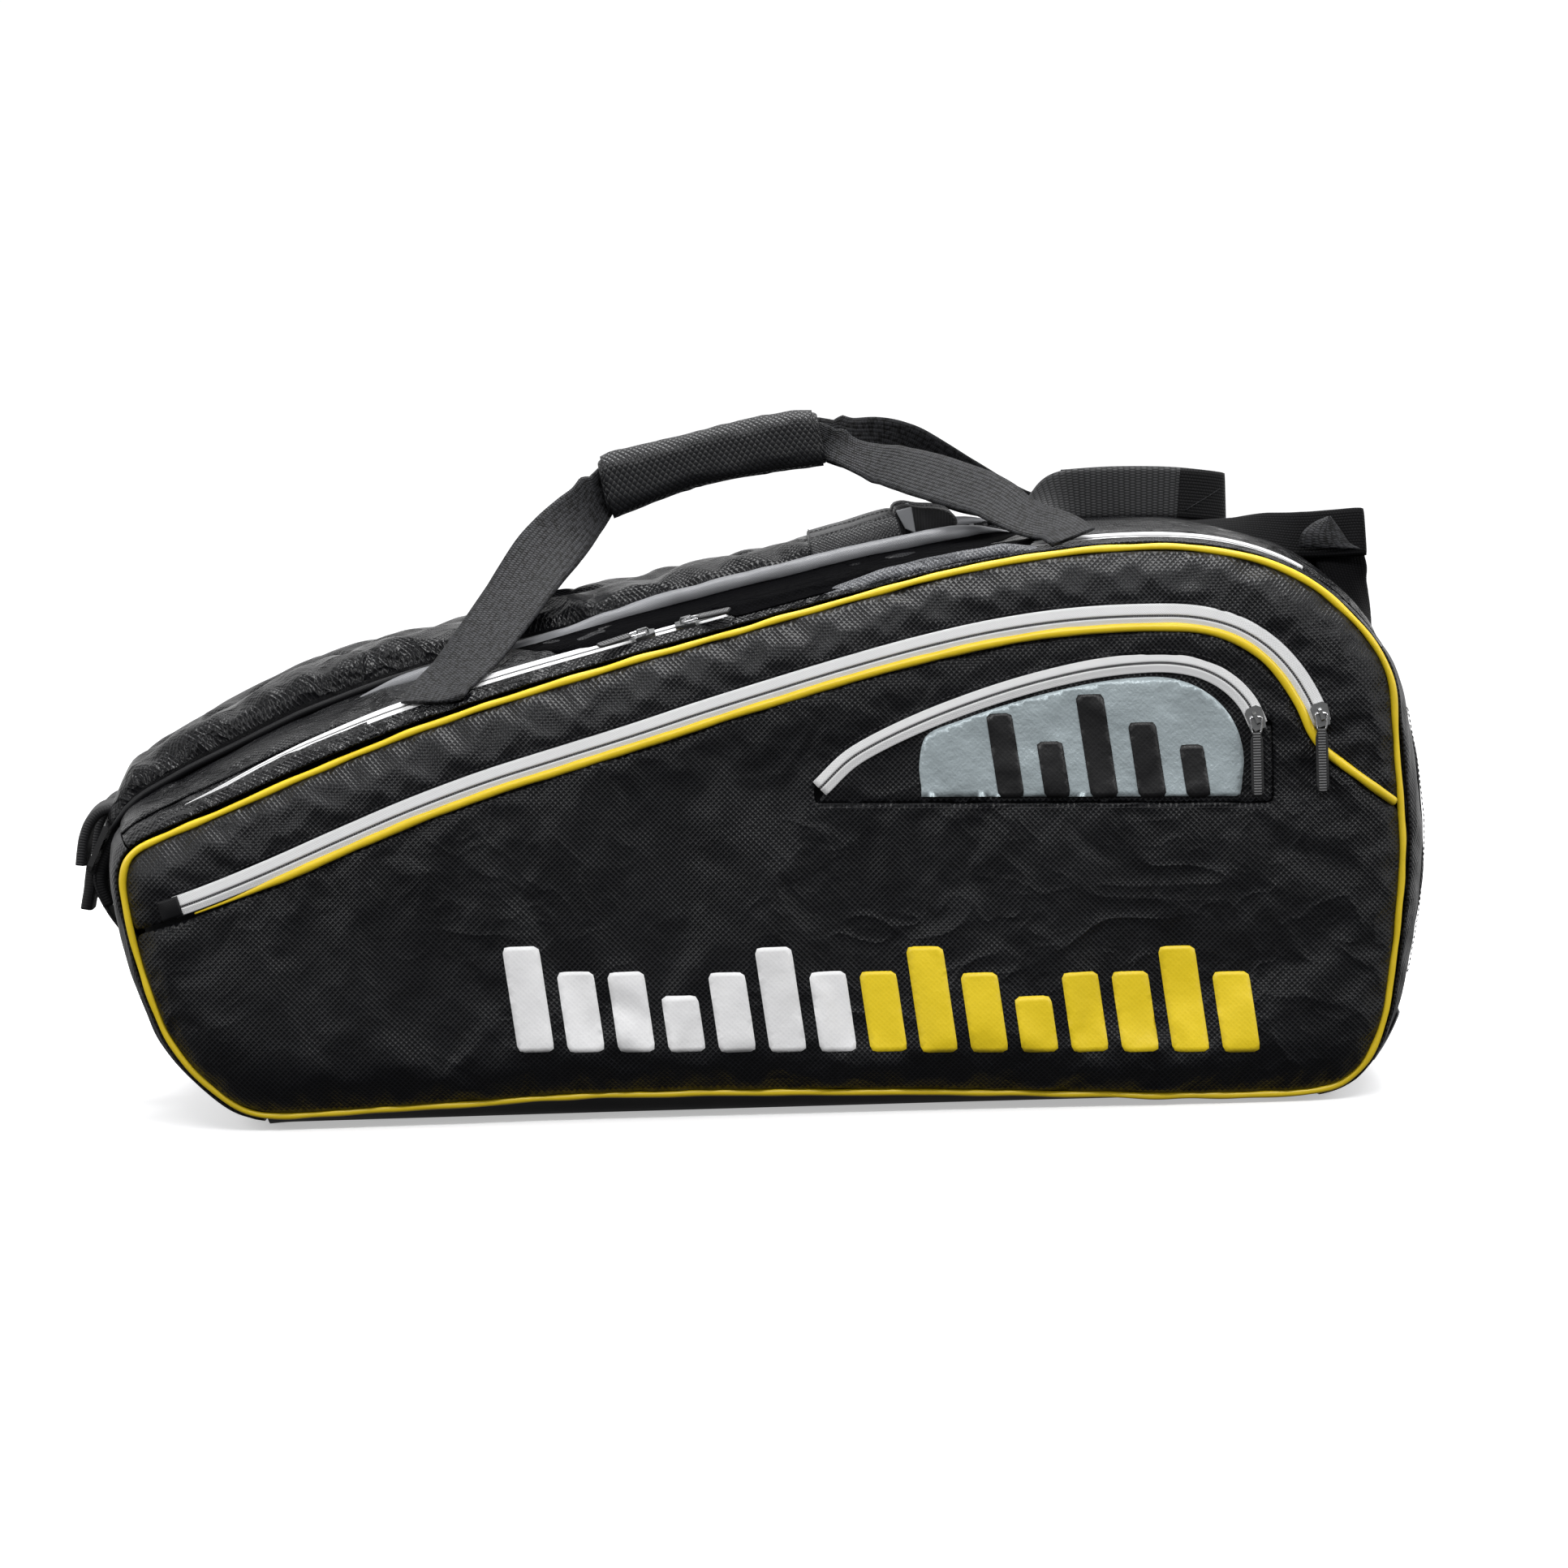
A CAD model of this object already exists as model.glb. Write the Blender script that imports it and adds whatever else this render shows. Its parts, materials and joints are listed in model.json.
# Racket tournament bag: the visual model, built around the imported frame.
import json
import math

import bpy
import numpy as np
from mathutils import Matrix, Vector, geometry, kdtree
from mathutils.bvhtree import BVHTree


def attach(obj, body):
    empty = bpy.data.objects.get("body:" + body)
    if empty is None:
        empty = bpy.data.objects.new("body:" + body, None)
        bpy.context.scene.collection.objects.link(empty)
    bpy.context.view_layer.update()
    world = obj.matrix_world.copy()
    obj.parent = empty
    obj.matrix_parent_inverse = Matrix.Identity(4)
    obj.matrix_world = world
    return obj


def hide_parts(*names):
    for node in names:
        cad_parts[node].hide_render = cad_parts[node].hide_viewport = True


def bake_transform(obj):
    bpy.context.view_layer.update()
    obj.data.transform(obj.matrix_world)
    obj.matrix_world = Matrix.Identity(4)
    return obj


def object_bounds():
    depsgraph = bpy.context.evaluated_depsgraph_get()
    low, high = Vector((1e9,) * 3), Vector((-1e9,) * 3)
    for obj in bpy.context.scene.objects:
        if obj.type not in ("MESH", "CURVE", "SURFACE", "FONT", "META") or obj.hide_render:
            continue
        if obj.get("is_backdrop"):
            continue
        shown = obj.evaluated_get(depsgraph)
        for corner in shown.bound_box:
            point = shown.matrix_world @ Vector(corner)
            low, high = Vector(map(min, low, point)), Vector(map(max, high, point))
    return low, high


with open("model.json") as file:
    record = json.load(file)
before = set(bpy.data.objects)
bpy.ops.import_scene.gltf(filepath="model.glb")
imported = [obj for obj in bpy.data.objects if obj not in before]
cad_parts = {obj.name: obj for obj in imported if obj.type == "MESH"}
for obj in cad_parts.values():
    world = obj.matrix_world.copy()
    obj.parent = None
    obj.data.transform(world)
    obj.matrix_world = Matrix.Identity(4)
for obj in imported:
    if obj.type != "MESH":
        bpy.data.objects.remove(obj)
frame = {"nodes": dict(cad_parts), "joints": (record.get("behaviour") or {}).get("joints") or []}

CAD_LO, CAD_HI = (v.copy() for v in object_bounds())
MM = 0.001
SH = np.array([-4.0344575, 2.8500, 0.0])      # working coordinates (mm) to the row frame
NODES = frame["nodes"]
scene = bpy.context.scene

# ------------------------------------------------------------------ camera
ELEV, ROLL = math.radians(5.0), math.radians(1.7)
fwd = Vector((0, math.cos(ELEV), -math.sin(ELEV)))
up0 = Vector((0, math.sin(ELEV), math.cos(ELEV)))
ex = Vector((1, 0, 0))
cam_right = ex * math.cos(ROLL) - up0 * math.sin(ROLL)
cam_up = ex * math.sin(ROLL) + up0 * math.cos(ROLL)
cam_data = bpy.data.cameras.new("camera")
cam_data.lens, cam_data.sensor_width = 120.997, 36.0
cam_data.clip_start, cam_data.clip_end = 0.05, 60
cam = bpy.data.objects.new("camera", cam_data)
scene.collection.objects.link(cam)
rot = Matrix((cam_right, cam_up, -fwd)).transposed().to_4x4()
cam.matrix_world = Matrix.Translation(Vector((np.array([21.828, -2988.584, 432.921]) + SH) * MM)) @ rot
scene.camera = cam

# ------------------------------------------------------------------ driving numbers, as in the CAD source
PIPE_Y, PIPE_R, ARCH_PIPE_R = 128.0, 2.0, 1.7
PANEL_Y, ZIP_W = 145.0, 11.0
TOP_ZIP_Y, SPINE_Y = 113.0, 63.0
STRAP_Y, STRAP_W, WEB_T = 31.0, 56.0, 1.8
EDGE = PIPE_Y - PIPE_R - 0.35
OUTLINE = [
    [-337.5, 150.5], [-332, 156.5], [-324.6, 160.6], [-303.9, 168.8], [-279.2, 178.6], [-238.7, 195.1],
    [-183.1, 215.8], [-126, 233.6], [-60, 251.6], [1.8, 267.2], [62, 282.4], [121.8, 296.0], [162, 302.2],
    [198, 305.3], [235, 305.5], [265, 301.8], [290, 294.3], [312, 282.5], [328, 269], [341, 254.5],
    [350, 240], [354.3, 224], [355.6, 201], [356.8, 180], [357.8, 157.5], [358.2, 139.7], [357.4, 124],
    [356, 108.6], [354.1, 93], [352, 77.5], [349.7, 62], [347, 46.5], [341.3, 31], [332.8, 17.5],
    [321, 9], [303, 5.2], [270, 4.6], [235.8, 5], [167.9, 8], [88.4, 11.5], [7, 13.5], [-89, 14.5],
    [-165.6, 11.5], [-227.5, 9.2], [-258, 8.6], [-275, 11], [-290, 19], [-305.2, 33.6], [-317.4, 50.5],
    [-324.4, 66.4], [-329.5, 82.2], [-333.7, 98], [-336.8, 113.7], [-339.4, 129.4], [-340, 141],
]
ARCH = [
    [-348, 108], [-322, 115.5], [-295.3, 123.8], [-259.6, 137.0], [-214, 155.6], [-179.2, 169.3],
    [-139.2, 183.0], [-98.7, 194.6], [-58.8, 205.8], [-19.3, 217.6], [20.5, 228.8], [60.3, 239.6],
    [100.1, 249.3], [139.8, 257.0], [179.4, 261.6], [218.9, 262.7], [246, 261.2], [265.6, 255.6],
    [280.5, 246.2], [292.4, 233.4], [301.3, 218.4], [307.5, 203.5], [314.5, 193.5], [324, 185.5],
    [337, 175.5], [352, 164], [366, 153],
]
ACCESSORY = [
    [41, 181], [57, 195.8], [70.3, 203.6], [94.8, 214.6], [121.4, 224.3], [147.9, 232.3], [170, 237.6],
    [192, 241.6], [214, 243.6], [233, 243.4], [250, 239.6], [264, 231.6], [274, 220.6], [279.5, 208.5],
]
SEAM_L, SEAM_R = np.array([38, 173.0]), np.array([287, 166.0])
RISE_TOP = [[-334, 19], [-300, 23], [-235, 26], [-190, 25], [-97, 20], [-50, 18], [0, 17], [88, 13], [150, 9], [250, 8], [300, 7], [347, 5]]
RISE_WIDE = [[6, 5], [20, 7], [50, 12], [100, 16], [150, 17], [180, 15], [205, 11.5], [225, 8], [246, 5]]
RISE_NARROW = [[9, 7], [40, 9], [80, 10], [120, 11], [145, 15], [155, 19]]
PAD_T = [[-350, 19], [-300, 24], [-235, 25], [-190, 23], [-97, 20], [-50, 18.5], [40, 17], [90, 15]]


def table(t, x):
    a = np.array(t, float)
    return np.interp(x, a[:, 0], a[:, 1])


def smooth(t):
    t = np.clip(t, 0, 1)
    return t * t * (3 - 2 * t)


def unit(v):
    v = np.asarray(v, float)
    return v / np.maximum(np.linalg.norm(v, axis=-1, keepdims=True), 1e-12)


def catmull(points, n, closed=False, fine=24):
    """A centripetal Catmull-Rom curve through points, sampled evenly: n + 1 points, or n if closed."""
    P = np.asarray(points, float)
    m, out = len(P), []
    for i in range(m if closed else m - 1):
        if closed:
            p0, p1, p2, p3 = P[(i - 1) % m], P[i], P[(i + 1) % m], P[(i + 2) % m]
        else:
            p1, p2 = P[i], P[i + 1]
            p0 = P[i - 1] if i > 0 else 2 * P[0] - P[1]
            p3 = P[i + 2] if i + 2 < m else 2 * P[-1] - P[-2]
        d0, d1, d2 = (max(float(np.sum((b - a) ** 2)) ** 0.25, 1e-4) for a, b in ((p0, p1), (p1, p2), (p2, p3)))
        t1 = ((p1 - p0) / d0 - (p2 - p0) / (d0 + d1) + (p2 - p1) / d1) * d1
        t2 = ((p2 - p1) / d1 - (p3 - p1) / (d1 + d2) + (p3 - p2) / d2) * d1
        u = np.linspace(0, 1, fine, endpoint=False)[:, None]
        out.append(p1 + t1 * u + (-3 * p1 + 3 * p2 - 2 * t1 - t2) * u ** 2 + (2 * p1 - 2 * p2 + t1 + t2) * u ** 3)
    Q = np.vstack(out + [P[:1] if closed else P[-1:]])
    s = np.concatenate([[0], np.cumsum(np.linalg.norm(np.diff(Q, axis=0), axis=1))])
    want = np.linspace(0, s[-1], n + 1)
    R = np.stack([np.interp(want, s, Q[:, k]) for k in range(Q.shape[1])], 1)
    return R[:-1] if closed else R


def length_of(P):
    return float(np.sum(np.linalg.norm(np.diff(P, axis=0), axis=1)))


def resample(P, step):
    """The same polyline with points a set distance apart."""
    s = np.concatenate([[0], np.cumsum(np.linalg.norm(np.diff(P, axis=0), axis=1))])
    n = max(2, int(round(s[-1] / step)))
    want = np.linspace(0, s[-1], n + 1)
    return np.stack([np.interp(want, s, P[:, k]) for k in range(P.shape[1])], 1)


def beside(P, d):
    """The line a distance d to the left of a 2-D polyline."""
    P = np.asarray(P, float)
    t = np.gradient(P, axis=0)
    t = unit(t)
    return P + np.stack([-t[:, 1], t[:, 0]], 1) * (np.asarray(d)[:, None] if np.ndim(d) else d)


def waves(p, scale, seed, n=14):
    """Smooth seeded noise, about -1 to 1, of points p at a wavelength of scale."""
    r = np.random.default_rng(seed)
    p = np.asarray(p, float)
    k = unit(r.normal(size=(n, p.shape[-1]))) * (2 * math.pi / scale * r.uniform(0.6, 1.5, (n, 1)))
    ph = r.uniform(0, 2 * math.pi, n)
    return np.sin(p @ k.T + ph).sum(-1) / math.sqrt(n) * 0.8


# ------------------------------------------------------------------ the shell's surface
NO = 2400
OP = catmull(OUTLINE, NO, True)
_t = np.roll(OP, -4, 0) - np.roll(OP, 4, 0)
ON = unit(np.stack([-_t[:, 1], _t[:, 0]], 1))
for _ in range(24):
    ON = unit(ON + 0.5 * (np.roll(ON, 3, 0) + np.roll(ON, -3, 0)))
OL = length_of(np.vstack([OP, OP[:1]]))
PER = OL / NO                                  # mm per outline index


def near_index(x, z):
    return int(np.argmin((OP[:, 0] - x) ** 2 + (OP[:, 1] - z) ** 2))


sA, sB, sC, sD = near_index(-334, 155), near_index(347, 246), near_index(309, 6), near_index(-268, 9.4)
if sA > NO / 2:
    sA -= NO


def outline_at(s):
    i = np.floor(s).astype(int)
    f = (s - i)[..., None]
    p = OP[i % NO] * (1 - f) + OP[(i + 1) % NO] * f
    n = unit(ON[i % NO] * (1 - f) + ON[(i + 1) % NO] * f)
    return p, n


def dome(y):
    return np.sqrt(np.maximum(0, 1 - np.power(np.abs(y) / PIPE_Y, 2.5)))


def gusset(s, y, depth=0.0):
    """A point of the gusset: s along the outline, y across, depth inwards from the outer face."""
    s, y, depth = np.broadcast_arrays(np.asarray(s, float), np.asarray(y, float), np.asarray(depth, float))
    p, n = outline_at(s)
    w = np.mod(s, NO)
    top = s <= sB
    wide = ~top & (w <= sC)
    base = ~top & ~wide & (w <= sD)
    rise = np.where(top, table(RISE_TOP, p[..., 0]), np.where(wide, table(RISE_WIDE, p[..., 1]), table(RISE_NARROW, p[..., 1])))
    h = rise * dome(y) - depth
    q = np.stack([p[..., 0] + n[..., 0] * h, y, p[..., 1] + n[..., 1] * h], -1)
    f = smooth((PIPE_Y - np.abs(y)) / 26)
    b = np.stack([p[..., 0], y, p[..., 1] * (1 - f) + depth], -1)
    return np.where(base[..., None], b, q)


_ss = np.arange(sA, sB + 0.5, 2.0)


def top_s(x, y):
    xs = gusset(_ss, np.full_like(_ss, y), 0)[:, 0]
    return np.interp(x, xs, _ss)


def top_point(x, y, lift):
    return gusset(top_s(x, y), y, -lift)


_ws = np.arange(sB, sC + 0.5, 2.0)
_ns = np.arange(sD, sA + NO + 0.5, 2.0)


def wide_s(z):
    return np.interp(-np.asarray(z, float), -outline_at(_ws)[0][:, 1], _ws)


def narrow_s(z):
    return np.interp(z, outline_at(_ns)[0][:, 1], _ns)


def surface_up(s, y):
    """Outward normal of the gusset surface."""
    a = gusset(np.asarray(s, float) + 2, y) - gusset(np.asarray(s, float) - 2, y)
    yy = np.asarray(y, float)
    b = gusset(s, np.clip(yy + 1, -127, 127)) - gusset(s, np.clip(yy - 1, -127, 127))
    n = unit(np.cross(a, b))
    p, on = outline_at(np.asarray(s, float))
    sign = np.sign(n[..., 0] * on[..., 0] + n[..., 2] * on[..., 1])
    return n * sign[..., None]


tree = kdtree.KDTree(NO)
for i in range(NO):
    tree.insert((OP[i, 0], OP[i, 1], 0), i)
tree.balance()


def inside(P):
    """Distance of 2-D points in from the outline."""
    out = np.zeros(len(P))
    for k, p in enumerate(P):
        _, i, d = tree.find((p[0], p[1], 0))
        out[k] = -((p[0] - OP[i, 0]) * ON[i, 0] + (p[1] - OP[i, 1]) * ON[i, 1])
    return out


def dish(d):
    """How far out the crowned panel stands, from its distance in from the outline."""
    return PANEL_Y - 14.4 * np.power(np.clip((36 - d) / 33.65, 0, 1.05), 2.53)


# ------------------------------------------------------------------ materials
class G:
    """A material's node graph, written as arithmetic."""

    def __init__(self, name, color, rough, metallic=0.0, spec=0.5, sheen=0.0, sheen_rough=0.4, coat=0.0, coat_rough=0.2):
        self.m = bpy.data.materials.new(name)
        self.m.use_nodes = True
        self.t = self.m.node_tree
        self.t.nodes.clear()
        self.out = self.t.nodes.new("ShaderNodeOutputMaterial")
        self.b = self.t.nodes.new("ShaderNodeBsdfPrincipled")
        self.t.links.new(self.b.outputs[0], self.out.inputs[0])
        i = self.b.inputs
        i["Base Color"].default_value = (*color, 1)
        i["Roughness"].default_value = rough
        i["Metallic"].default_value = metallic
        i["Specular IOR Level"].default_value = spec
        i["Sheen Weight"].default_value = sheen
        i["Sheen Roughness"].default_value = sheen_rough
        i["Coat Weight"].default_value = coat
        i["Coat Roughness"].default_value = coat_rough
        self._uv = None
        self._obj = None

    def node(self, kind, **kw):
        n = self.t.nodes.new(kind)
        for k, v in kw.items():
            setattr(n, k, v)
        return n

    def put(self, sock, v):
        if hasattr(v, "is_output"):
            self.t.links.new(v, sock)
        else:
            sock.default_value = v

    def m1(self, op, a, b=None, c=None, clamp=False):
        n = self.node("ShaderNodeMath", operation=op, use_clamp=clamp)
        for k, v in enumerate((a, b, c)):
            if v is not None:
                self.put(n.inputs[k], v)
        return n.outputs[0]

    def uv(self):
        """(u, v) in millimetres from the mesh's UV map, which is in metres."""
        if self._uv is None:
            n = self.node("ShaderNodeUVMap", uv_map="flat")
            s = self.node("ShaderNodeSeparateXYZ")
            self.t.links.new(n.outputs[0], s.inputs[0])
            self._uv = (self.m1("MULTIPLY", s.outputs[0], 1000.0), self.m1("MULTIPLY", s.outputs[1], 1000.0))
        return self._uv

    def obj(self):
        """Object coordinates in millimetres, as a vector socket."""
        if self._obj is None:
            n = self.node("ShaderNodeTexCoord")
            s = self.node("ShaderNodeVectorMath", operation="SCALE")
            self.t.links.new(n.outputs["Object"], s.inputs[0])
            s.inputs[3].default_value = 1000.0
            self._obj = s.outputs[0]
        return self._obj

    def noise(self, scale, detail=2.0, rough=0.5, vec=None, dist=0.0):
        n = self.node("ShaderNodeTexNoise")
        self.t.links.new(vec if vec is not None else self.obj(), n.inputs["Vector"])
        n.inputs["Scale"].default_value = scale
        n.inputs["Detail"].default_value = detail
        n.inputs["Roughness"].default_value = rough
        n.inputs["Distortion"].default_value = dist
        return n.outputs[0]

    def ramp(self, v, lo, hi, a=0.0, b=1.0):
        n = self.node("ShaderNodeMapRange", clamp=True, interpolation_type="SMOOTHSTEP")
        self.put(n.inputs[0], v)
        for k, x in enumerate((lo, hi, a, b)):
            n.inputs[k + 1].default_value = x
        return n.outputs[0]

    def mix(self, f, a, b):
        n = self.node("ShaderNodeMix", data_type="RGBA")
        self.put(n.inputs[0], f)
        for s, v in ((n.inputs[6], a), (n.inputs[7], b)):
            if hasattr(v, "is_output"):
                self.t.links.new(v, s)
            else:
                s.default_value = (*v, 1)
        return n.outputs[2]

    def color(self, sock):
        self.t.links.new(sock, self.b.inputs["Base Color"])

    def rough(self, sock):
        self.t.links.new(sock, self.b.inputs["Roughness"])

    def bump(self, height, distance, strength=1.0, over=None):
        n = self.node("ShaderNodeBump")
        n.inputs["Strength"].default_value = strength
        n.inputs["Distance"].default_value = distance
        self.t.links.new(height, n.inputs["Height"])
        if over is not None:
            self.t.links.new(over, n.inputs["Normal"])
        self.t.links.new(n.outputs[0], self.b.inputs["Normal"])
        return n.outputs[0]

    def crumple(self, size, mask_lo=0.40, mask_hi=0.62):
        """Sharp soft-cloth creases in patches: 0 to 1."""
        out = None
        for k, (sc, w, p) in enumerate(((1.0 / size, 0.62, 2.6), (2.3 / size, 0.30, 2.2), (5.0 / size, 0.10, 1.6))):
            n = self.noise(sc, 1.0, 0.4, dist=0.9 - 0.2 * k)
            r = self.m1("SUBTRACT", 1.0, self.m1("ABSOLUTE", self.m1("SUBTRACT", self.m1("MULTIPLY", n, 4.0), 2.0)), clamp=True)
            r = self.m1("MULTIPLY", self.m1("POWER", r, p), w)
            out = r if out is None else self.m1("ADD", out, r)
        return self.m1("MULTIPLY", out, self.ramp(self.noise(0.35 / size, 2, 0.5), mask_lo, mask_hi, 0.25, 1.0))

    def diamonds(self, pitch, aspect=1.0):
        """Raised thread lines between diamond cells: 1 on a line, 0 in the middle of a cell."""
        u, v = self.uv()
        v = self.m1("MULTIPLY", v, aspect)
        k = math.pi / pitch
        a = self.m1("ABSOLUTE", self.m1("SINE", self.m1("MULTIPLY", self.m1("ADD", u, v), k)))
        b = self.m1("ABSOLUTE", self.m1("SINE", self.m1("MULTIPLY", self.m1("SUBTRACT", u, v), k)))
        return self.m1("SUBTRACT", 1.0, self.m1("POWER", self.m1("MULTIPLY", a, b), 0.55))


def ripstop(name, base=(0.0036, 0.0038, 0.0047), rough=0.34, pitch=3.0, depth=0.00030, sheen=0.01, spec=0.24, thread=5.0, fold=0.0016, size=60.0):
    """Dark ripstop: fine raised threads that cross as diamonds over a tighter ground weave."""
    g = G(name, base, rough, spec=spec, sheen=sheen, sheen_rough=0.35)
    line = g.diamonds(pitch)
    big = g.noise(0.02, 3, 0.6)
    fine = g.noise(1.6, 2, 0.6)
    worn = g.noise(0.11, 3, 0.6)
    thin = g.ramp(line, 0.56, 0.94)
    ground = g.mix(big, tuple(x * 0.60 for x in base), tuple(x * 1.35 for x in base))
    g.color(g.mix(g.m1("MULTIPLY", thin, g.ramp(worn, 0.25, 0.75, 0.35, 0.95)), ground, tuple(x * thread for x in base)))
    g.rough(g.m1("ADD", rough - 0.08, g.m1("ADD", g.m1("MULTIPLY", thin, 0.10), g.m1("MULTIPLY", big, 0.18))))
    first = g.bump(g.crumple(size), fold, 1.0)
    first = g.bump(fine, 0.00005, 0.5, over=first)
    g.bump(line, depth, 1.0, over=first)
    return g.m


def plain_nylon(name, base=(0.0042, 0.0043, 0.0052), rough=0.44, sheen=0.02, spec=0.22):
    """Fine plain weave."""
    g = G(name, base, rough, spec=spec, sheen=sheen)
    u, v = g.uv()
    k = math.pi / 0.62
    a = g.m1("SINE", g.m1("MULTIPLY", u, k))
    b = g.m1("SINE", g.m1("MULTIPLY", v, k))
    h = g.m1("MULTIPLY", a, b)
    big = g.noise(0.03, 3, 0.6)
    g.color(g.mix(big, tuple(x * 0.7 for x in base), tuple(x * 1.5 for x in base)))
    g.rough(g.m1("ADD", rough - 0.08, g.m1("MULTIPLY", big, 0.18)))
    g.bump(h, 0.00006, 0.8)
    return g.m


def webbing_mat(name, base=(0.0135, 0.0138, 0.0150), rough=0.56, rib=1.75, spec=0.30, cross=False, speck=0.0):
    """Ribbed polypropylene: ribs across the width, each a row of short offset floats."""
    g = G(name, base, rough, spec=spec, sheen=0.03)
    u, v = g.uv()[::-1] if cross else g.uv()      # u along the strap, v across it
    row = g.m1("FLOOR", g.m1("DIVIDE", v, rib))
    across = g.m1("ABSOLUTE", g.m1("SINE", g.m1("MULTIPLY", v, math.pi / rib)))
    uu = g.m1("ADD", u, g.m1("MULTIPLY", row, 0.8))
    along = g.m1("ABSOLUTE", g.m1("SINE", g.m1("MULTIPLY", uu, math.pi / 1.6)))
    h = g.m1("MULTIPLY", g.m1("POWER", across, 0.6), g.m1("ADD", 0.35, g.m1("MULTIPLY", along, 0.65)))
    big = g.noise(0.05, 2, 0.5)
    k = g.m1("MULTIPLY", h, g.m1("ADD", 0.6, big))
    if speck:
        fine = g.ramp(g.noise(0.40, 1, 0.5), 0.36, 0.64, 1 - speck, 1 + speck * 1.3)
        k = g.m1("MULTIPLY", k, fine)
    g.color(g.mix(k, tuple(x * 0.25 for x in base), tuple(x * 2.4 for x in base)))
    g.rough(g.m1("SUBTRACT", rough + 0.12, g.m1("MULTIPLY", h, 0.2)))
    g.bump(h, 0.00028, 1.0)
    return g.m


def zip_tape_mat(name):
    """Woven white tape: a dotted twill, a dark groove over the coil and a greyed hem."""
    g = G(name, (0.7, 0.7, 0.7), 0.42, spec=0.4, sheen=0.05)
    u, v = g.uv()
    w = g.m1("ABSOLUTE", v)
    k = math.pi / 1.15
    a = g.m1("ABSOLUTE", g.m1("SINE", g.m1("MULTIPLY", g.m1("ADD", u, g.m1("MULTIPLY", w, 0.9)), k)))
    b = g.m1("ABSOLUTE", g.m1("SINE", g.m1("MULTIPLY", g.m1("SUBTRACT", g.m1("MULTIPLY", u, 0.6), w), k * 1.2)))
    tw = g.m1("POWER", g.m1("MULTIPLY", a, b), 0.6)
    edge = g.ramp(w, 0.42, 0.80, 1.0, 0.0)
    hem = g.ramp(w, 5.9, 6.6, 0.0, 1.0)
    soft = g.noise(0.06, 3, 0.6)
    c = g.mix(tw, (0.58, 0.585, 0.595), (0.94, 0.94, 0.94))
    c = g.mix(g.m1("MULTIPLY", soft, 0.35), c, (0.55, 0.555, 0.565))
    c = g.mix(edge, c, (0.030, 0.030, 0.033))
    c = g.mix(g.m1("MULTIPLY", hem, 0.35), c, (0.25, 0.25, 0.26))
    g.color(c)
    g.rough(g.m1("ADD", 0.34, g.m1("MULTIPLY", tw, 0.16)))
    g.bump(tw, 0.00012, 0.9)
    return g.m


def vinyl(name, base=(0.83, 0.60, 0.018)):
    g = G(name, base, 0.34, spec=0.45, coat=0.15, coat_rough=0.3)
    n = g.noise(0.35, 4, 0.6)
    b = g.noise(0.03, 2, 0.5)
    g.color(g.mix(g.m1("ADD", g.m1("MULTIPLY", n, 0.4), g.m1("MULTIPLY", b, 0.5)), tuple(x * 0.80 for x in base), tuple(min(1, x * 1.12) for x in base)))
    g.rough(g.m1("ADD", 0.26, g.m1("MULTIPLY", n, 0.2)))
    g.bump(n, 0.00012, 0.7)
    return g.m


def metal(name, base=(0.42, 0.425, 0.43), rough=0.24):
    g = G(name, base, rough, metallic=1.0)
    n = g.noise(1.2, 5, 0.65, dist=0.6)
    f = g.noise(0.25, 3, 0.5)
    g.color(g.mix(n, tuple(x * 0.6 for x in base), tuple(min(1, x * 1.25) for x in base)))
    g.rough(g.m1("ADD", rough - 0.06, g.m1("MULTIPLY", f, 0.22)))
    g.bump(n, 0.00006, 0.5)
    return g.m


def plastic(name, base=(0.008, 0.008, 0.009), rough=0.26, spec=0.55, coat=0.0):
    g = G(name, base, rough, spec=spec, coat=coat, coat_rough=0.08)
    n = g.noise(2.2, 3, 0.6)
    f = g.noise(0.1, 3, 0.5)
    g.color(g.mix(f, tuple(x * 0.7 for x in base), tuple(x * 1.6 for x in base)))
    g.rough(g.m1("ADD", rough - 0.08, g.m1("MULTIPLY", n, 0.2)))
    g.bump(n, 0.00005, 0.6)
    return g.m


def film(name, base, rough, metallic=0.0, weave=2.9, wrinkle=0.0003, coat=0.0):
    """A printed or laminated film that still shows the weave under it."""
    g = G(name, base, rough, metallic=metallic, spec=0.5, coat=coat, coat_rough=0.25)
    line = g.diamonds(weave)
    big = g.noise(0.045, 4, 0.62)
    mid = g.noise(0.22, 3, 0.6)
    g.color(g.mix(g.m1("ADD", g.m1("MULTIPLY", big, 0.75), g.m1("MULTIPLY", line, 0.2)), tuple(x * 0.84 for x in base), tuple(min(1, x * 1.12) for x in base)))
    g.rough(g.m1("ADD", rough - 0.06, g.m1("ADD", g.m1("MULTIPLY", big, 0.1), g.m1("MULTIPLY", line, 0.08))))
    first = g.bump(mid, wrinkle, 0.8)
    g.bump(line, 0.00005, 0.8, over=first)
    return g.m


def honeycomb(name, base=(0.0056, 0.0058, 0.0068), rough=0.38):
    g = G(name, base, rough, spec=0.34, sheen=0.02)
    line = g.diamonds(3.3, 0.72)
    cell = g.ramp(line, 0.3, 0.95)
    big = g.noise(0.06, 3, 0.6)
    g.color(g.mix(cell, tuple(x * 1.9 for x in base), tuple(x * 0.45 for x in base)))
    g.rough(g.m1("ADD", rough - 0.1, g.m1("ADD", g.m1("MULTIPLY", cell, 0.25), g.m1("MULTIPLY", big, 0.12))))
    g.bump(line, 0.00045, 1.0)
    g.t.nodes[-1].invert = True
    return g.m


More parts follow.
